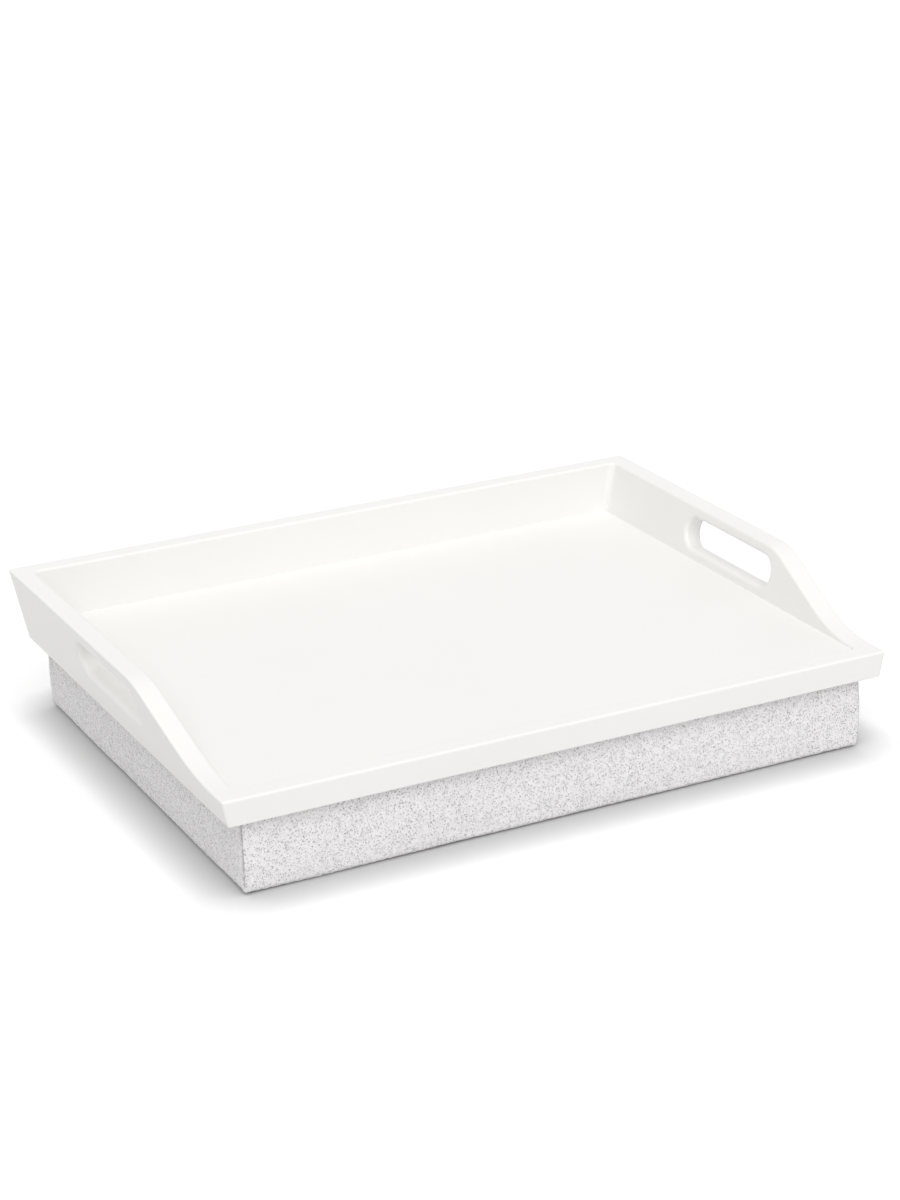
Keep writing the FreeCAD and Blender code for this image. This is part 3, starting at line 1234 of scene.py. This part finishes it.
    def corner_fill(self, name: str, way: float, high: float) -> Piece:
        """A hollow-faced fillet of filler in a right-hand inner corner, eased and painted with the boards.

        Args:
            name: the object's name.
            way: 1 for the back corner, -1 for the front one.
            high: the height of its top.

        Returns:
            The fillet.
        """
        r, inner = self.fill_round, way * self.inner_depth
        low, top = self.floor_high - self.fill_hold, high + self.fill_rise
        reach = self.fill_reach * r
        near, far = sorted((inner - way * reach, inner + way * self.fill_hold))
        left, right = self.inner_face(low) - 2 * r, self.inner_face(high) + self.overrun
        obj = Bench.block(name, (left, near, self.base + low), (right, far, self.base + top))
        Bench.saw(obj, *self.lean_plane(self.fill_hold), Keep.BEHIND)
        Bench.saw(obj, *self.lean_plane(-reach / math.cos(self.lean)), Keep.AHEAD)
        _, out = self.lean_plane(0.0)

        def axis(height: float) -> Vector:
            """The middle of the hollow's round at a height."""
            corner = Vector((self.inner_face(height), inner, self.base + height))
            return corner - out * r - Vector((0.0, way * r, 0.0))

        def hollow_top(edge: Any) -> bool:
            """Whether an edge is the top one of the hollow."""
            gaps = [v.co - axis(top) for v in edge.verts]
            return all(abs(g.z - r * out.z) < TINY and g.xy.length < self.hollow_reach * r for g in gaps)

        ends = (axis(low - self.overrun), axis(high + self.overrun))
        Bench.carve(obj, Bench.rod("hollow", r, *ends, self.round_sides))
        Bench.ease(obj, self.edge_round, hollow_top)
        return obj

    def build(self) -> None:
        """Makes the boards and sets them on the tray."""
        right = self.right_side()
        left = Bench.mirror(right, "left_side_board")
        right.name = "right_side_board"
        boards = {
            "right_side": right,
            "left_side": left,
            "front_rail": self.rail(
                "front_rail_board", -self.half_depth, -self.inner_depth, self.front_height
            ),
            "back_rail": self.rail("back_rail_board", self.inner_depth, self.half_depth, self.wall_height),
            "tray_floor": self.floor(),
        }
        for node, obj in boards.items():
            Bench.polish(obj)
            seat(obj, PAINT, Slot.PAINT, Body.TRAY, node)
        for end, way, high in (("front", -1.0, self.front_height), ("back", 1.0, self.wall_height)):
            fill = self.corner_fill(f"{end}_fill_right", way, high)
            for obj in (fill, Bench.mirror(fill, f"{end}_fill_left")):
                Bench.polish(obj)
                seat(obj, PAINT, Slot.PAINT, Body.TRAY)
        dress_piece(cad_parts["corner_dowels"], BEECH)


# Cushion

SWELLING = {
    "quality": 5,
    "mass": 0.3,
    "tension_stiffness": 40.0,
    "compression_stiffness": 40.0,
    "shear_stiffness": 10.0,
    "bending_stiffness": 0.6,
    "use_pressure": True,
    "uniform_pressure_force": 4.0,
}


@dataclass
class Cushion:
    """The boxed cushion: a sewn cover, swollen by its foam."""

    width: float = 0.405
    depth: float = 0.312
    height: float = 0.046
    belly: float = 0.002
    end_share: float = 0.3
    foot_spread: float = 0.001
    belly_height: float = 0.025
    bottom_round: float = 0.004
    cuts: tuple = (100, 78, 14)
    crowding: tuple = (0.78, 0.76, 0.65)
    zip_half_length: float = 0.160
    zip_half_window: float = 0.006
    pocket_depth: float = 0.0038
    back_share: float = 0.9
    seam_depth: float = 0.0011
    seam_width: float = 0.0009
    seam_shares: tuple = (1.0, 0.5, 0.4)
    foot_share: float = 0.29
    level_shade: float = 0.3
    pucker: float = 0.00016
    pucker_pitch: float = 0.0065
    pucker_reach: float = 0.007
    pucker_margin: float = 0.006
    fold_wander: float = 4.0
    fold_scale: float = 90.0
    uneven: float = 0.0005
    uneven_scale: float = 22.0
    seam_hold: float = 0.002
    zip_hold: float = 0.004
    flat_band: float = 0.0001
    frames: int = 20
    swell_cap: float = 0.0007
    crown_cap: float = 0.0014
    crown_half: tuple = (0.145, 0.098)
    crown_fade: float = 0.03
    foam_gap: float = 0.0022
    foam_round: Round = Round(0.004, 4)
    foam_cuts: int = 12

    @property
    def half(self) -> Vector:
        """Half of the width and of the depth."""
        return Vector((self.width / 2, self.depth / 2))

    def bulge(self, z: float) -> float:
        """How far a side stands out at a height, through its top seam, belly and foot.

        Args:
            z: the height.

        Returns:
            The distance outside the top seam.
        """
        heights = (self.height, self.belly_height, self.bottom_round)
        total = 0.0
        for k, share in enumerate((0.0, self.belly, self.foot_spread)):
            for m, other in enumerate(heights):
                if m != k:
                    share *= (z - other) / (heights[k] - other)
            total += share
        return total

    def gridded(self) -> Piece:
        """A block with a grid on all its faces that gets finer towards its seams.

        Returns:
            The block.
        """
        half = self.half
        obj = Bench.block("cushion_cover", (-half.x, -half.y, 0.0), (half.x, half.y, self.height))
        Bench.grid(obj, self.cuts)
        middle = Vector((0.0, 0.0, self.height / 2))
        reach = Vector((half.x, half.y, self.height / 2))
        for vertex in obj.data.vertices:
            for axis, crowd in enumerate(self.crowding):
                t = (vertex.co[axis] - middle[axis]) / reach[axis]
                graded = t + crowd * math.sin(math.pi * t) / math.pi
                vertex.co[axis] = middle[axis] + graded * reach[axis]
        for way in BOTH_WAYS:
            Bench.saw(obj, (way * self.zip_half_length, 0.0, 0.0), RIGHT)
            Bench.saw(obj, (0.0, 0.0, self.belly_height + way * self.zip_half_window), UP)
        return obj

    def round_foot(self, place: Vector) -> Vector:
        """Moves a point near the bottom edges onto their round.

        Args:
            place: the point on the square block.

        Returns:
            Where it goes.
        """
        half, r = self.half, self.bottom_round
        gap = [half.x - abs(place.x), half.y - abs(place.y)]
        new = place.copy()
        on_side = [g < TINY for g in gap]
        if place.z < r and any(on_side):
            turn = math.pi / 4 * (1 - place.z / r)
            new.z = r * (1 - math.sin(turn))
            for k in (0, 1):
                if on_side[k]:
                    new[k] -= math.copysign(r * (1 - math.cos(turn)), place[k])
        elif place.z < TINY and min(gap) < r:
            k = gap.index(min(gap))
            turn = math.pi / 4 * (1 + gap[k] / r)
            new.z = r * (1 - math.sin(turn))
            new[k] = math.copysign(half[k] - r * (1 - math.cos(turn)), place[k])
        return new

    def shape(self, obj: Piece) -> None:
        """Rounds the foot and gives the sides their belly.

        Args:
            obj: the gridded block.
        """
        for vertex in obj.data.vertices:
            place = self.round_foot(vertex.co)
            out = self.bulge(max(place.z, self.bottom_round))
            place.x *= 1 + self.end_share * out / self.half.x
            place.y *= 1 + out / self.half.y
            vertex.co = place

    def in_window(self, place: Vector, margin: float) -> bool:
        """Whether a point of the back lies in the zip's window or close to it.

        Args:
            place: the point.
            margin: how close.

        Returns:
            True if it does.
        """
        across = abs(place.x) < self.zip_half_length + margin
        upright = abs(place.z - self.belly_height) < self.zip_half_window + margin
        return across and upright and place.y > self.half.y * self.back_share

    def zip_pocket(self, obj: Piece) -> None:
        """Presses the zip's window into the back.

        Args:
            obj: the cover.
        """

        def window(face: Any) -> bool:
            """Whether a face of the back lies in the window."""
            return face.normal.y > ALONG and self.in_window(face.calc_center_median(), 0.0)

        with Bench.editing(obj):
            Bench.select(obj, Pick.FACES, window)
            bpy.ops.mesh.extrude_region_move(
                TRANSFORM_OT_translate={"value": (0.0, -self.pocket_depth, 0.0)}
            )

    def seam_gaps(self, place: Vector) -> tuple:
        """How far a point lies from the seams.

        Args:
            place: the point.

        Returns:
            The gaps to the upright seams and to the seams round the top and the bottom.
        """
        out = self.bulge(min(max(place.z, self.bottom_round), self.height))
        gap = [self.half.x + self.end_share * out - abs(place.x), self.half.y + out - abs(place.y)]
        side = min(abs(gap[0]), abs(gap[1]))
        foot = self.foot_share * self.bottom_round
        top = math.hypot(side, self.height - place.z)
        bottom = math.hypot(side - foot, place.z - foot)
        return math.hypot(*gap), top, bottom

    def swell(self, obj: Piece) -> None:
        """Blows the cover up from inside as cloth sewn down along its seams, within limits.

        Args:
            obj: the cover.
        """
        sewn = obj.vertex_groups.new(name="sewn")
        for vertex in obj.data.vertices:
            at_seam = min(self.seam_gaps(vertex.co)) < self.seam_hold
            held = at_seam or self.in_window(vertex.co, self.zip_hold)
            sewn.add([vertex.index], float(held), "REPLACE")
        before = [vertex.co.copy() for vertex in obj.data.vertices]
        modifier = obj.modifiers.new("swelling", "CLOTH")
        for name, value in SWELLING.items():
            setattr(modifier.settings, name, value)
        modifier.settings.vertex_group_mass = sewn.name
        modifier.settings.effector_weights.gravity = 0.0
        modifier.collision_settings.use_collision = False
        modifier.point_cache.frame_start = 1
        modifier.point_cache.frame_end = self.frames
        for number in range(1, self.frames + 1):
            bpy.context.scene.frame_set(number)
        Bench.take(obj)
        bpy.ops.object.modifier_apply(modifier=modifier.name)
        bpy.context.scene.frame_set(1)
        furthest = 0.0
        for vertex, old in zip(obj.data.vertices, before):
            step = self.limited(old, vertex.co - old)
            furthest = max(furthest, step.length)
            vertex.co = old + step
        obj.vertex_groups.clear()
        log.info("cover swollen by up to %.2f mm", furthest * 1000)

    def limited(self, place: Vector, step: Vector) -> Vector:
        """Keeps a step of the swelling within its limits.

        Args:
            place: where the point was.
            step: how far the simulation moved it.

        Returns:
            The step that it may take: only upwards on the top, and none on the bottom.
        """
        if place.z > self.height - self.flat_band:
            return Vector((0.0, 0.0, min(max(step.z, 0.0), self.crown(place))))
        if place.z < self.flat_band:
            return Vector(ORIGIN)
        if step.length > self.swell_cap:
            return step * (self.swell_cap / step.length)
        return step

    def crown(self, place: Vector) -> float:
        """How far the top may rise at a point: not at all at the rim or under the tapes.

        Args:
            place: the point.

        Returns:
            The distance.
        """
        room = min((half - abs(place[k])) / self.crown_fade for k, half in enumerate(self.crown_half))
        share = min(max(room, 0.0), 1.0)
        return self.crown_cap * share * share * (3 - 2 * share)

    def sew(self, obj: Piece) -> None:
        """Draws the cover in along its seams, puckers it there, stores how dark the painted seam shade is,
        and makes the cloth a little uneven.

        Args:
            obj: the cover.
        """
        # The 'seam' attribute holds painted shade: how far the colour is darkened along the seams, most at
        # the upright ones.
        seams = obj.data.attributes.new("seam", "FLOAT", "POINT")
        normals = [vertex.normal.copy() for vertex in obj.data.vertices]
        for vertex, normal in zip(obj.data.vertices, normals):
            place = vertex.co.copy()
            gaps = self.seam_gaps(place)
            pull = [
                share * self.seam_depth * math.exp(-((gap / self.seam_width) ** 2))
                for share, gap in zip(self.seam_shares, gaps)
            ]
            # Painted seam shade: full at the upright seams, weaker at the seams round the top and the
            # bottom.
            painted_seam_shade = max(pull[0], self.level_shade * max(pull[1:]))
            seams.data[vertex.index].value = min(1.0, painted_seam_shade / self.seam_depth)
            step = -max(pull)
            if not self.in_window(place, self.pucker_margin):
                step += self.wrinkle(place, gaps[0], min(gaps[1:]))
            place += normal * step
            if normal.z > ALONG:
                place.z = min(place.z, vertex.co.z)
            place.z = max(place.z, 0.0)
            vertex.co = place

    def wrinkle(self, place: Vector, upright: float, level: float) -> float:
        """The small folds that run away from the seams, and the broad unevenness between them.

        Args:
            place: the point.
            upright: its gap to the upright seams.
            level: its gap to the seams round the top and the bottom.

        Returns:
            How far the cloth stands out.
        """
        phase = self.fold_wander * noise.noise(place * self.fold_scale)
        along_upright = math.sin(math.tau * place.z / self.pucker_pitch + phase)
        along_level = math.sin(math.tau * (place.x + place.y) / self.pucker_pitch + phase)
        folds = along_upright * math.exp(-upright / self.pucker_reach)
        folds += along_level * math.exp(-level / self.pucker_reach)
        return self.pucker * folds + self.uneven * noise.noise(place * self.uneven_scale)

    def cover(self) -> None:
        """Sews the cover and fills it."""
        obj = self.gridded()
        self.shape(obj)
        self.zip_pocket(obj)
        self.swell(obj)
        Bench.apply(obj, "SUBSURF", levels=1, render_levels=1)
        self.sew(obj)
        Bench.take(obj)
        bpy.ops.object.shade_smooth()
        Bench.lay_flat(obj)
        nodes = [f"cushion_{side}_panel" for side in ("top", "bottom", "front", "left", "right")]
        nodes += [f"zip_band_{half}" for half in ("upper", "lower")]
        seat(obj, HEATHER, Slot.FABRIC, Body.CUSHION, *nodes)

    def foam(self) -> None:
        """Cuts the foam block that fills the cover."""
        half, skin = self.half, self.foam_gap
        low = (skin - half.x, skin - half.y, skin)
        high = (half.x - skin, half.y - skin, self.height - skin)
        obj = Bench.block("cushion_foam", low, high)
        Bench.ease(obj, self.foam_round, lambda edge: True)
        with Bench.editing(obj, whole=True):
            bpy.ops.mesh.subdivide(number_cuts=self.foam_cuts)
        Bench.polish(obj)
        seat(obj, FOAM, Slot.FOAM, Body.CUSHION, "foam_core")

    def build(self) -> None:
        """Makes the cushion's cover and its filling."""
        self.cover()
        self.foam()


# Fasteners

@dataclass
class Fasteners:
    """The hook tapes under the tray's floor and the loop tapes on the cushion."""

    length: float = 0.160
    width: float = 0.025
    across: float = 0.116
    along: float = 0.1625
    loop_low: float = 0.0460
    loop_top: float = 0.0472
    hook_low: float = 0.0475
    hook_top: float = 0.0488
    backing: float = 0.0004
    hook_pitch: float = 0.002
    stem: float = 0.00014
    stem_sides: int = 6
    head: float = 0.0001
    head_spread: float = 2.2
    pile_cuts: tuple = (220, 34)
    pile_least: float = 0.1
    lump: float = 0.0009
    stitch: Stitch = Stitch()
    stitch_inset: float = 0.0018

    @property
    def corner(self) -> Vector:
        """Half of a tape's length and width."""
        return Vector((self.length / 2, self.width / 2))

    @property
    def places(self) -> dict:
        """Where the middle of each tape goes."""
        ends = {"front": (0.0, -self.across, 0.0), "back": (0.0, self.across, 0.0)}
        return {**ends, "left": (-self.along, 0.0, 0.0), "right": (self.along, 0.0, 0.0)}

    def hook_tape(self) -> Piece:
        """A length of hook tape along X, with rows of mushroom-headed stems on its underside.

        Returns:
            The tape.
        """
        corner, root = self.corner, self.hook_top - self.backing
        tape = Bench.block("hook_tape", (-corner.x, -corner.y, root), (corner.x, corner.y, self.hook_top))
        start = Vector((self.hook_pitch - corner.x, self.hook_pitch - corner.y, root))
        tip = (start.x, start.y, self.hook_low + self.head)
        hook = Bench.rod("hook", self.stem, start, tip, self.stem_sides)
        with Bench.editing(hook):
            Bench.select(hook, Pick.FACES, lambda f: f.normal.z < -ALONG)
            bpy.ops.mesh.extrude_region_move()
            bpy.ops.transform.resize(value=(self.head_spread, self.head_spread, 1.0), center_override=tip)
            bpy.ops.mesh.extrude_region_move(TRANSFORM_OT_translate={"value": (0.0, 0.0, -self.head)})
        Bench.row(hook, round(self.length / self.hook_pitch) - 1, (self.hook_pitch, 0.0, 0.0))
        Bench.row(hook, round(self.width / self.hook_pitch) - 1, (0.0, self.hook_pitch, 0.0))
        return Bench.join([tape, hook], "hook_tape")

    def loop_tape(self) -> Piece:
        """A length of loop tape along X, with a soft uneven pile.

        Returns:
            The tape.
        """
        corner, root = self.corner, self.loop_low + self.backing
        tape = Bench.block("loop_tape", (-corner.x, -corner.y, self.loop_low), (corner.x, corner.y, root))
        Bench.grid(tape, self.pile_cuts)
        for vertex in tape.data.vertices:
            edge_gap = min(corner.x - abs(vertex.co.x), corner.y - abs(vertex.co.y))
            if vertex.co.z > root - TINY and edge_gap > SMALL:
                lump = 0.5 + 0.5 * noise.noise(vertex.co / self.lump)
                vertex.co.z += (self.loop_top - root) * min(max(lump, self.pile_least), 1.0)
        Bench.take(tape)
        bpy.ops.object.shade_smooth()
        return tape

    def stitching(self) -> Piece:
        """The stitches round a loop tape that lies along X.

        Returns:
            The stitches.
        """
        edge = self.corner - Vector((self.stitch_inset, self.stitch_inset))
        top = self.loop_top - self.stitch.breadth / 2
        rows = []
        for way in BOTH_WAYS:
            rows.append(self.stitch.line((0.0, way * edge.y, top), 0, self.stitch.count(2 * edge.x)))
            rows.append(self.stitch.line((way * edge.x, 0.0, top), 1, self.stitch.count(2 * edge.y)))
        return Bench.join(rows, "loop_stitches")

    def laid(self, pattern: Piece, name: str, side: str) -> Piece:
        """Copies a tape to one of its four places.

        Args:
            pattern: the tape, which lies along X about the middle.
            name: what the copy's name begins with.
            side: where it goes.

        Returns:
            The copy.
        """
        obj = Bench.copy(pattern, f"{name}_{side}")
        with Bench.editing(obj, whole=True):
            if side in ("left", "right"):
                bpy.ops.transform.rotate(value=math.pi / 2, orient_axis="Z", center_override=ORIGIN)
            bpy.ops.transform.translate(value=self.places[side])
        return obj

    def build(self) -> None:
        """Makes one tape of each kind and lays it in its four places."""
        hook, loop, stitch = self.hook_tape(), self.loop_tape(), self.stitching()
        for side in self.places:
            hooks = self.laid(hook, "hook_tape", side)
            loops = self.laid(loop, "loop_tape", side)
            stitches = self.laid(stitch, "loop_stitches", side)
            for tape in (hooks, loops):
                Bench.lay_flat(tape)
            Bench.polish(stitches, self.stitch.smooth)
            seat(hooks, HOOK_CLOTH, Slot.HOOK, Body.TRAY, f"hook_strip_{side}")
            seat(loops, LOOP_CLOTH, Slot.LOOP, Body.CUSHION, f"loop_strip_{side}")
            seat(stitches, THREAD, Slot.LOOP, Body.CUSHION)
        for pattern in (hook, loop, stitch):
            bpy.data.objects.remove(pattern, do_unlink=True)


# Zip

@dataclass
class Zip:
    """The zip across the back of the cushion: tapes, coils, stitches, stops, slider and pull."""

    half_length: float = 0.160
    half_window: float = 0.006
    height: float = 0.025
    coil_back: float = 0.1569
    coil_front: float = 0.1589
    coil_near: float = 0.00045
    coil_far: float = 0.0033
    coil_smooth: float = 70.0
    wire: float = 0.00028
    turn_pitch: float = 0.00115
    turn_segments: int = 10
    wire_segments: int = 5
    cord: float = 0.00045
    cord_sides: int = 8
    stitch: Stitch = Stitch()
    stitch_gap: float = 0.0018
    end_stitches: int = 4
    metal_round: Round = Round(0.00025, 2)
    stop_round: Round = Round(0.00025 / 3, 2)
    sharp_turn: float = 0.6
    flat_turn: float = 1.0

    def coil(self) -> Piece:
        """The upper coil: a row of flattened turns on a cord.

        Returns:
            The coil.
        """
        middle_y = (self.coil_back + self.coil_front) / 2
        middle_z = self.height + (self.coil_near + self.coil_far) / 2
        tall = (self.coil_far - self.coil_near) / 2
        deep = (self.coil_front - self.coil_back) / 2
        start = (self.wire - self.half_length, middle_y, middle_z)
        turn = Bench.add(
            bpy.ops.mesh.primitive_torus_add,
            "coil_turn",
            location=start,
            rotation=(0.0, math.pi / 2, 0.0),
            major_segments=self.turn_segments,
            minor_segments=self.wire_segments,
            major_radius=tall - self.wire,
            minor_radius=self.wire,
        )
        with Bench.editing(turn, whole=True):
            bpy.ops.transform.resize(value=(1.0, deep / tall, 1.0), center_override=start)
        Bench.row(turn, int(2 * self.half_length / self.turn_pitch), (self.turn_pitch, 0.0, 0.0))
        ends = [(way * self.half_length, middle_y, middle_z) for way in BOTH_WAYS]
        cord = Bench.rod("coil_cord", self.cord, *ends, self.cord_sides)
        return Bench.join([turn, cord], "zip_coil_upper_turns")

    def coils(self) -> None:
        """Makes the upper coil and turns a copy over for the lower one."""
        upper = self.coil()
        middle = (0.0, 0.0, self.height)
        lower = Bench.mirror(upper, "zip_coil_lower_turns", (1.0, 1.0, -1.0), middle)
        for obj, node in ((upper, "zip_coil_upper"), (lower, "zip_coil_lower")):
            Bench.polish(obj, self.coil_smooth)
            seat(obj, NYLON, Slot.COIL, Body.CUSHION, node)

    def cut_from(self, node: str, name: str) -> Piece:
        """Copies a CAD node's shape, with its corners merged and its flat faces whole.

        Args:
            node: the CAD node.
            name: the copy's name.

        Returns:
            The copy.
        """
        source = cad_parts[node]
        obj = Bench.copy(source, name)
        obj.matrix_world = source.matrix_world
        Bench.settle(obj)
        with Bench.editing(obj, whole=True):
            bpy.ops.mesh.remove_doubles(threshold=TINY)
            bpy.ops.mesh.dissolve_limited(angle_limit=math.radians(self.flat_turn))
            bpy.ops.mesh.normals_make_consistent(inside=False)
        return obj

    def tapes(self) -> None:
        """Weaves the two tapes."""
        for half in ("upper", "lower"):
            obj = self.cut_from(f"zip_tape_{half}", f"zip_tape_{half}_cloth")
            Bench.lay_flat(obj)
            seat(obj, ZIP_CLOTH, Slot.TAPE, Body.CUSHION, f"zip_tape_{half}")

    def metalwork(self) -> None:
        """Eases the edges of the stops, the slider and the pull."""
        pieces = (
            ("zip_end_stops", self.stop_round, Body.CUSHION),
            ("zip_slider", self.metal_round, Body.SLIDER),
            ("zip_pull", self.metal_round, Body.PULL),
        )
        for node, edge_round, body in pieces:
            obj = self.cut_from(node, f"{node}_metal")
            Bench.ease(obj, edge_round, lambda edge: Bench.turned(edge, self.sharp_turn))
            Bench.polish(obj)
            seat(obj, NICKEL, Slot.METAL, body, node)

    def topstitch(self) -> None:
        """Sews the cover down round the zip's window."""
        shell = Cushion()
        count = self.stitch.count(2 * self.half_length)
        rows = []
        for way in BOTH_WAYS:
            z = self.height + way * (self.half_window + self.stitch_gap)
            rows.append(self.stitch.line((0.0, shell.half.y + shell.bulge(z), z), 0, count))
            x = way * (self.half_length + self.stitch_gap)
            y = shell.half.y + shell.bulge(self.height)
            rows.append(self.stitch.line((x, y, self.height), 2, self.end_stitches))
        obj = Bench.join(rows, "zip_topstitch")
        Bench.polish(obj, self.stitch.smooth)
        seat(obj, THREAD, Slot.FABRIC, Body.CUSHION)

    def build(self) -> None:
        """Makes the zip's pieces."""
        self.tapes()
        self.coils()
        self.metalwork()
        self.topstitch()


# Studio

@dataclass
class Studio:
    """The white floor, the lamps and the camera."""

    azimuth: float = -26.324
    elevation: float = 20.816
    roll: float = -1.606
    distance: float = 1.8743
    target: tuple = (0.0482, 0.0850, 0.0463)
    lens: float = 86.364
    sensor: float = 36.0
    clip: tuple = (0.05, 50.0)
    world_level: float = 0.66
    floor_colour: float = 0.52
    floor_bounce: float = 0.72
    floor_lift: float = 0.52
    floor_size: float = 30.0
    floor_drop: float = 0.0004
    # The painted contact shadow on the floor: how far it reaches, its samples and how fast it fades.
    shadow_reach: float = 0.032
    shadow_samples: int = 16
    shadow_power: float = 3.0
    lamps: tuple = (("key_lamp", (-0.2, -0.6, 0.79), 60.0, 1.55),)

    def camera(self) -> None:
        """Sets the camera where the photo was taken from."""
        a, e, r = (math.radians(v) for v in (self.azimuth, self.elevation, self.roll))
        back = Vector((math.sin(a) * math.cos(e), -math.cos(a) * math.cos(e), math.sin(e)))
        level = Vector(UP).cross(back).normalized()
        upright = back.cross(level)
        right = level * math.cos(r) + upright * math.sin(r)
        up = upright * math.cos(r) - level * math.sin(r)
        place = Vector(self.target) + back * self.distance
        bpy.ops.object.camera_add()
        camera = bpy.context.object
        camera.name = "photo_camera"
        camera.matrix_world = Matrix.Translation(place) @ Matrix((right, up, back)).transposed().to_4x4()
        camera.data.lens = self.lens
        camera.data.sensor_width = self.sensor
        camera.data.clip_start, camera.data.clip_end = self.clip
        bpy.context.scene.camera = camera

    def world(self) -> None:
        """Lights everything softly from all round, and shows as white behind the object."""
        world = bpy.data.worlds.new("studio_white")
        world.use_nodes = True
        bpy.context.scene.world = world
        sheet = NodeSheet(world.node_tree)
        world.node_tree.nodes.clear()
        soft = sheet.add("Background", {"Color": WHITE, "Strength": self.world_level})
        plain = sheet.add("Background", {"Color": WHITE, "Strength": 1.0})
        path = sheet.add("LightPath").outputs
        seen = sheet.maths("MAXIMUM", sheet.seen(), path["Is Transmission Ray"])
        mix = sheet.add("MixShader", {0: seen, 1: soft.outputs[0], 2: plain.outputs[0]})
        sheet.add("OutputWorld", {"Surface": mix.outputs[0]})

    def floor(self) -> None:
        """Lays the white floor, which keeps the object's shadow from the lamps and adds painted shadow
        round the object: its glow, seen only by the camera, fades where ambient occlusion finds the object
        close.
        """
        place = (0.0, 0.0, -self.floor_drop)
        floor = Bench.add(
            bpy.ops.mesh.primitive_plane_add, "studio_floor", size=self.floor_size, location=place
        )
        material = bpy.data.materials.new("studio_floor_white")
        material.use_nodes = True
        sheet = NodeSheet(material.node_tree)
        shader = material.node_tree.nodes["Principled BSDF"]
        seen = sheet.seen()
        tones = [(tone, tone, tone, 1.0) for tone in (self.floor_bounce, self.floor_colour)]
        # Painted shadow: the floor's glow for the camera fades near the object by ambient occlusion.
        near = sheet.add("AmbientOcclusion", {"Distance": self.shadow_reach}, samples=self.shadow_samples)
        painted_shadow_fade = sheet.maths("POWER", near.outputs["AO"], self.shadow_power)
        glow_with_painted_shadow = sheet.maths("MULTIPLY", painted_shadow_fade, self.floor_lift)
        given = {
            "Roughness": 1.0,
            "Specular IOR Level": 0.0,
            "Base Color": sheet.mixed(seen, *tones),
            "Emission Color": WHITE,
            "Emission Strength": sheet.maths("MULTIPLY", seen, glow_with_painted_shadow),
        }
        for name, value in given.items():
            sheet.feed(shader.inputs[name], value)
        floor.data.materials.append(material)

    def lights(self) -> None:
        """Hangs the lamps, each far off in a direction, broad enough for soft shadows."""
        for name, direction, breadth, power in self.lamps:
            Bench.take(None)
            bpy.ops.object.light_add(type="SUN", location=direction)
            lamp = bpy.context.object
            lamp.name = name
            lamp.data.angle = math.radians(breadth)
            lamp.data.energy = power
            lamp.rotation_euler = Vector(direction).to_track_quat("Z", "Y").to_euler()

    def build(self) -> None:
        """Sets up the floor, the light and the camera."""
        self.floor()
        self.world()
        self.lights()
        self.camera()
        bpy.context.scene.view_settings.view_transform = "Standard"


def main() -> None:
    """Builds the sub-assemblies in order."""
    logging.basicConfig(level=logging.INFO, format="%(name)s: %(message)s")
    for part in (Tray(), Cushion(), Fasteners(), Zip(), Studio()):
        part.build()
        log.info("%s is done", type(part).__name__)


if __name__ == "__main__":
    main()
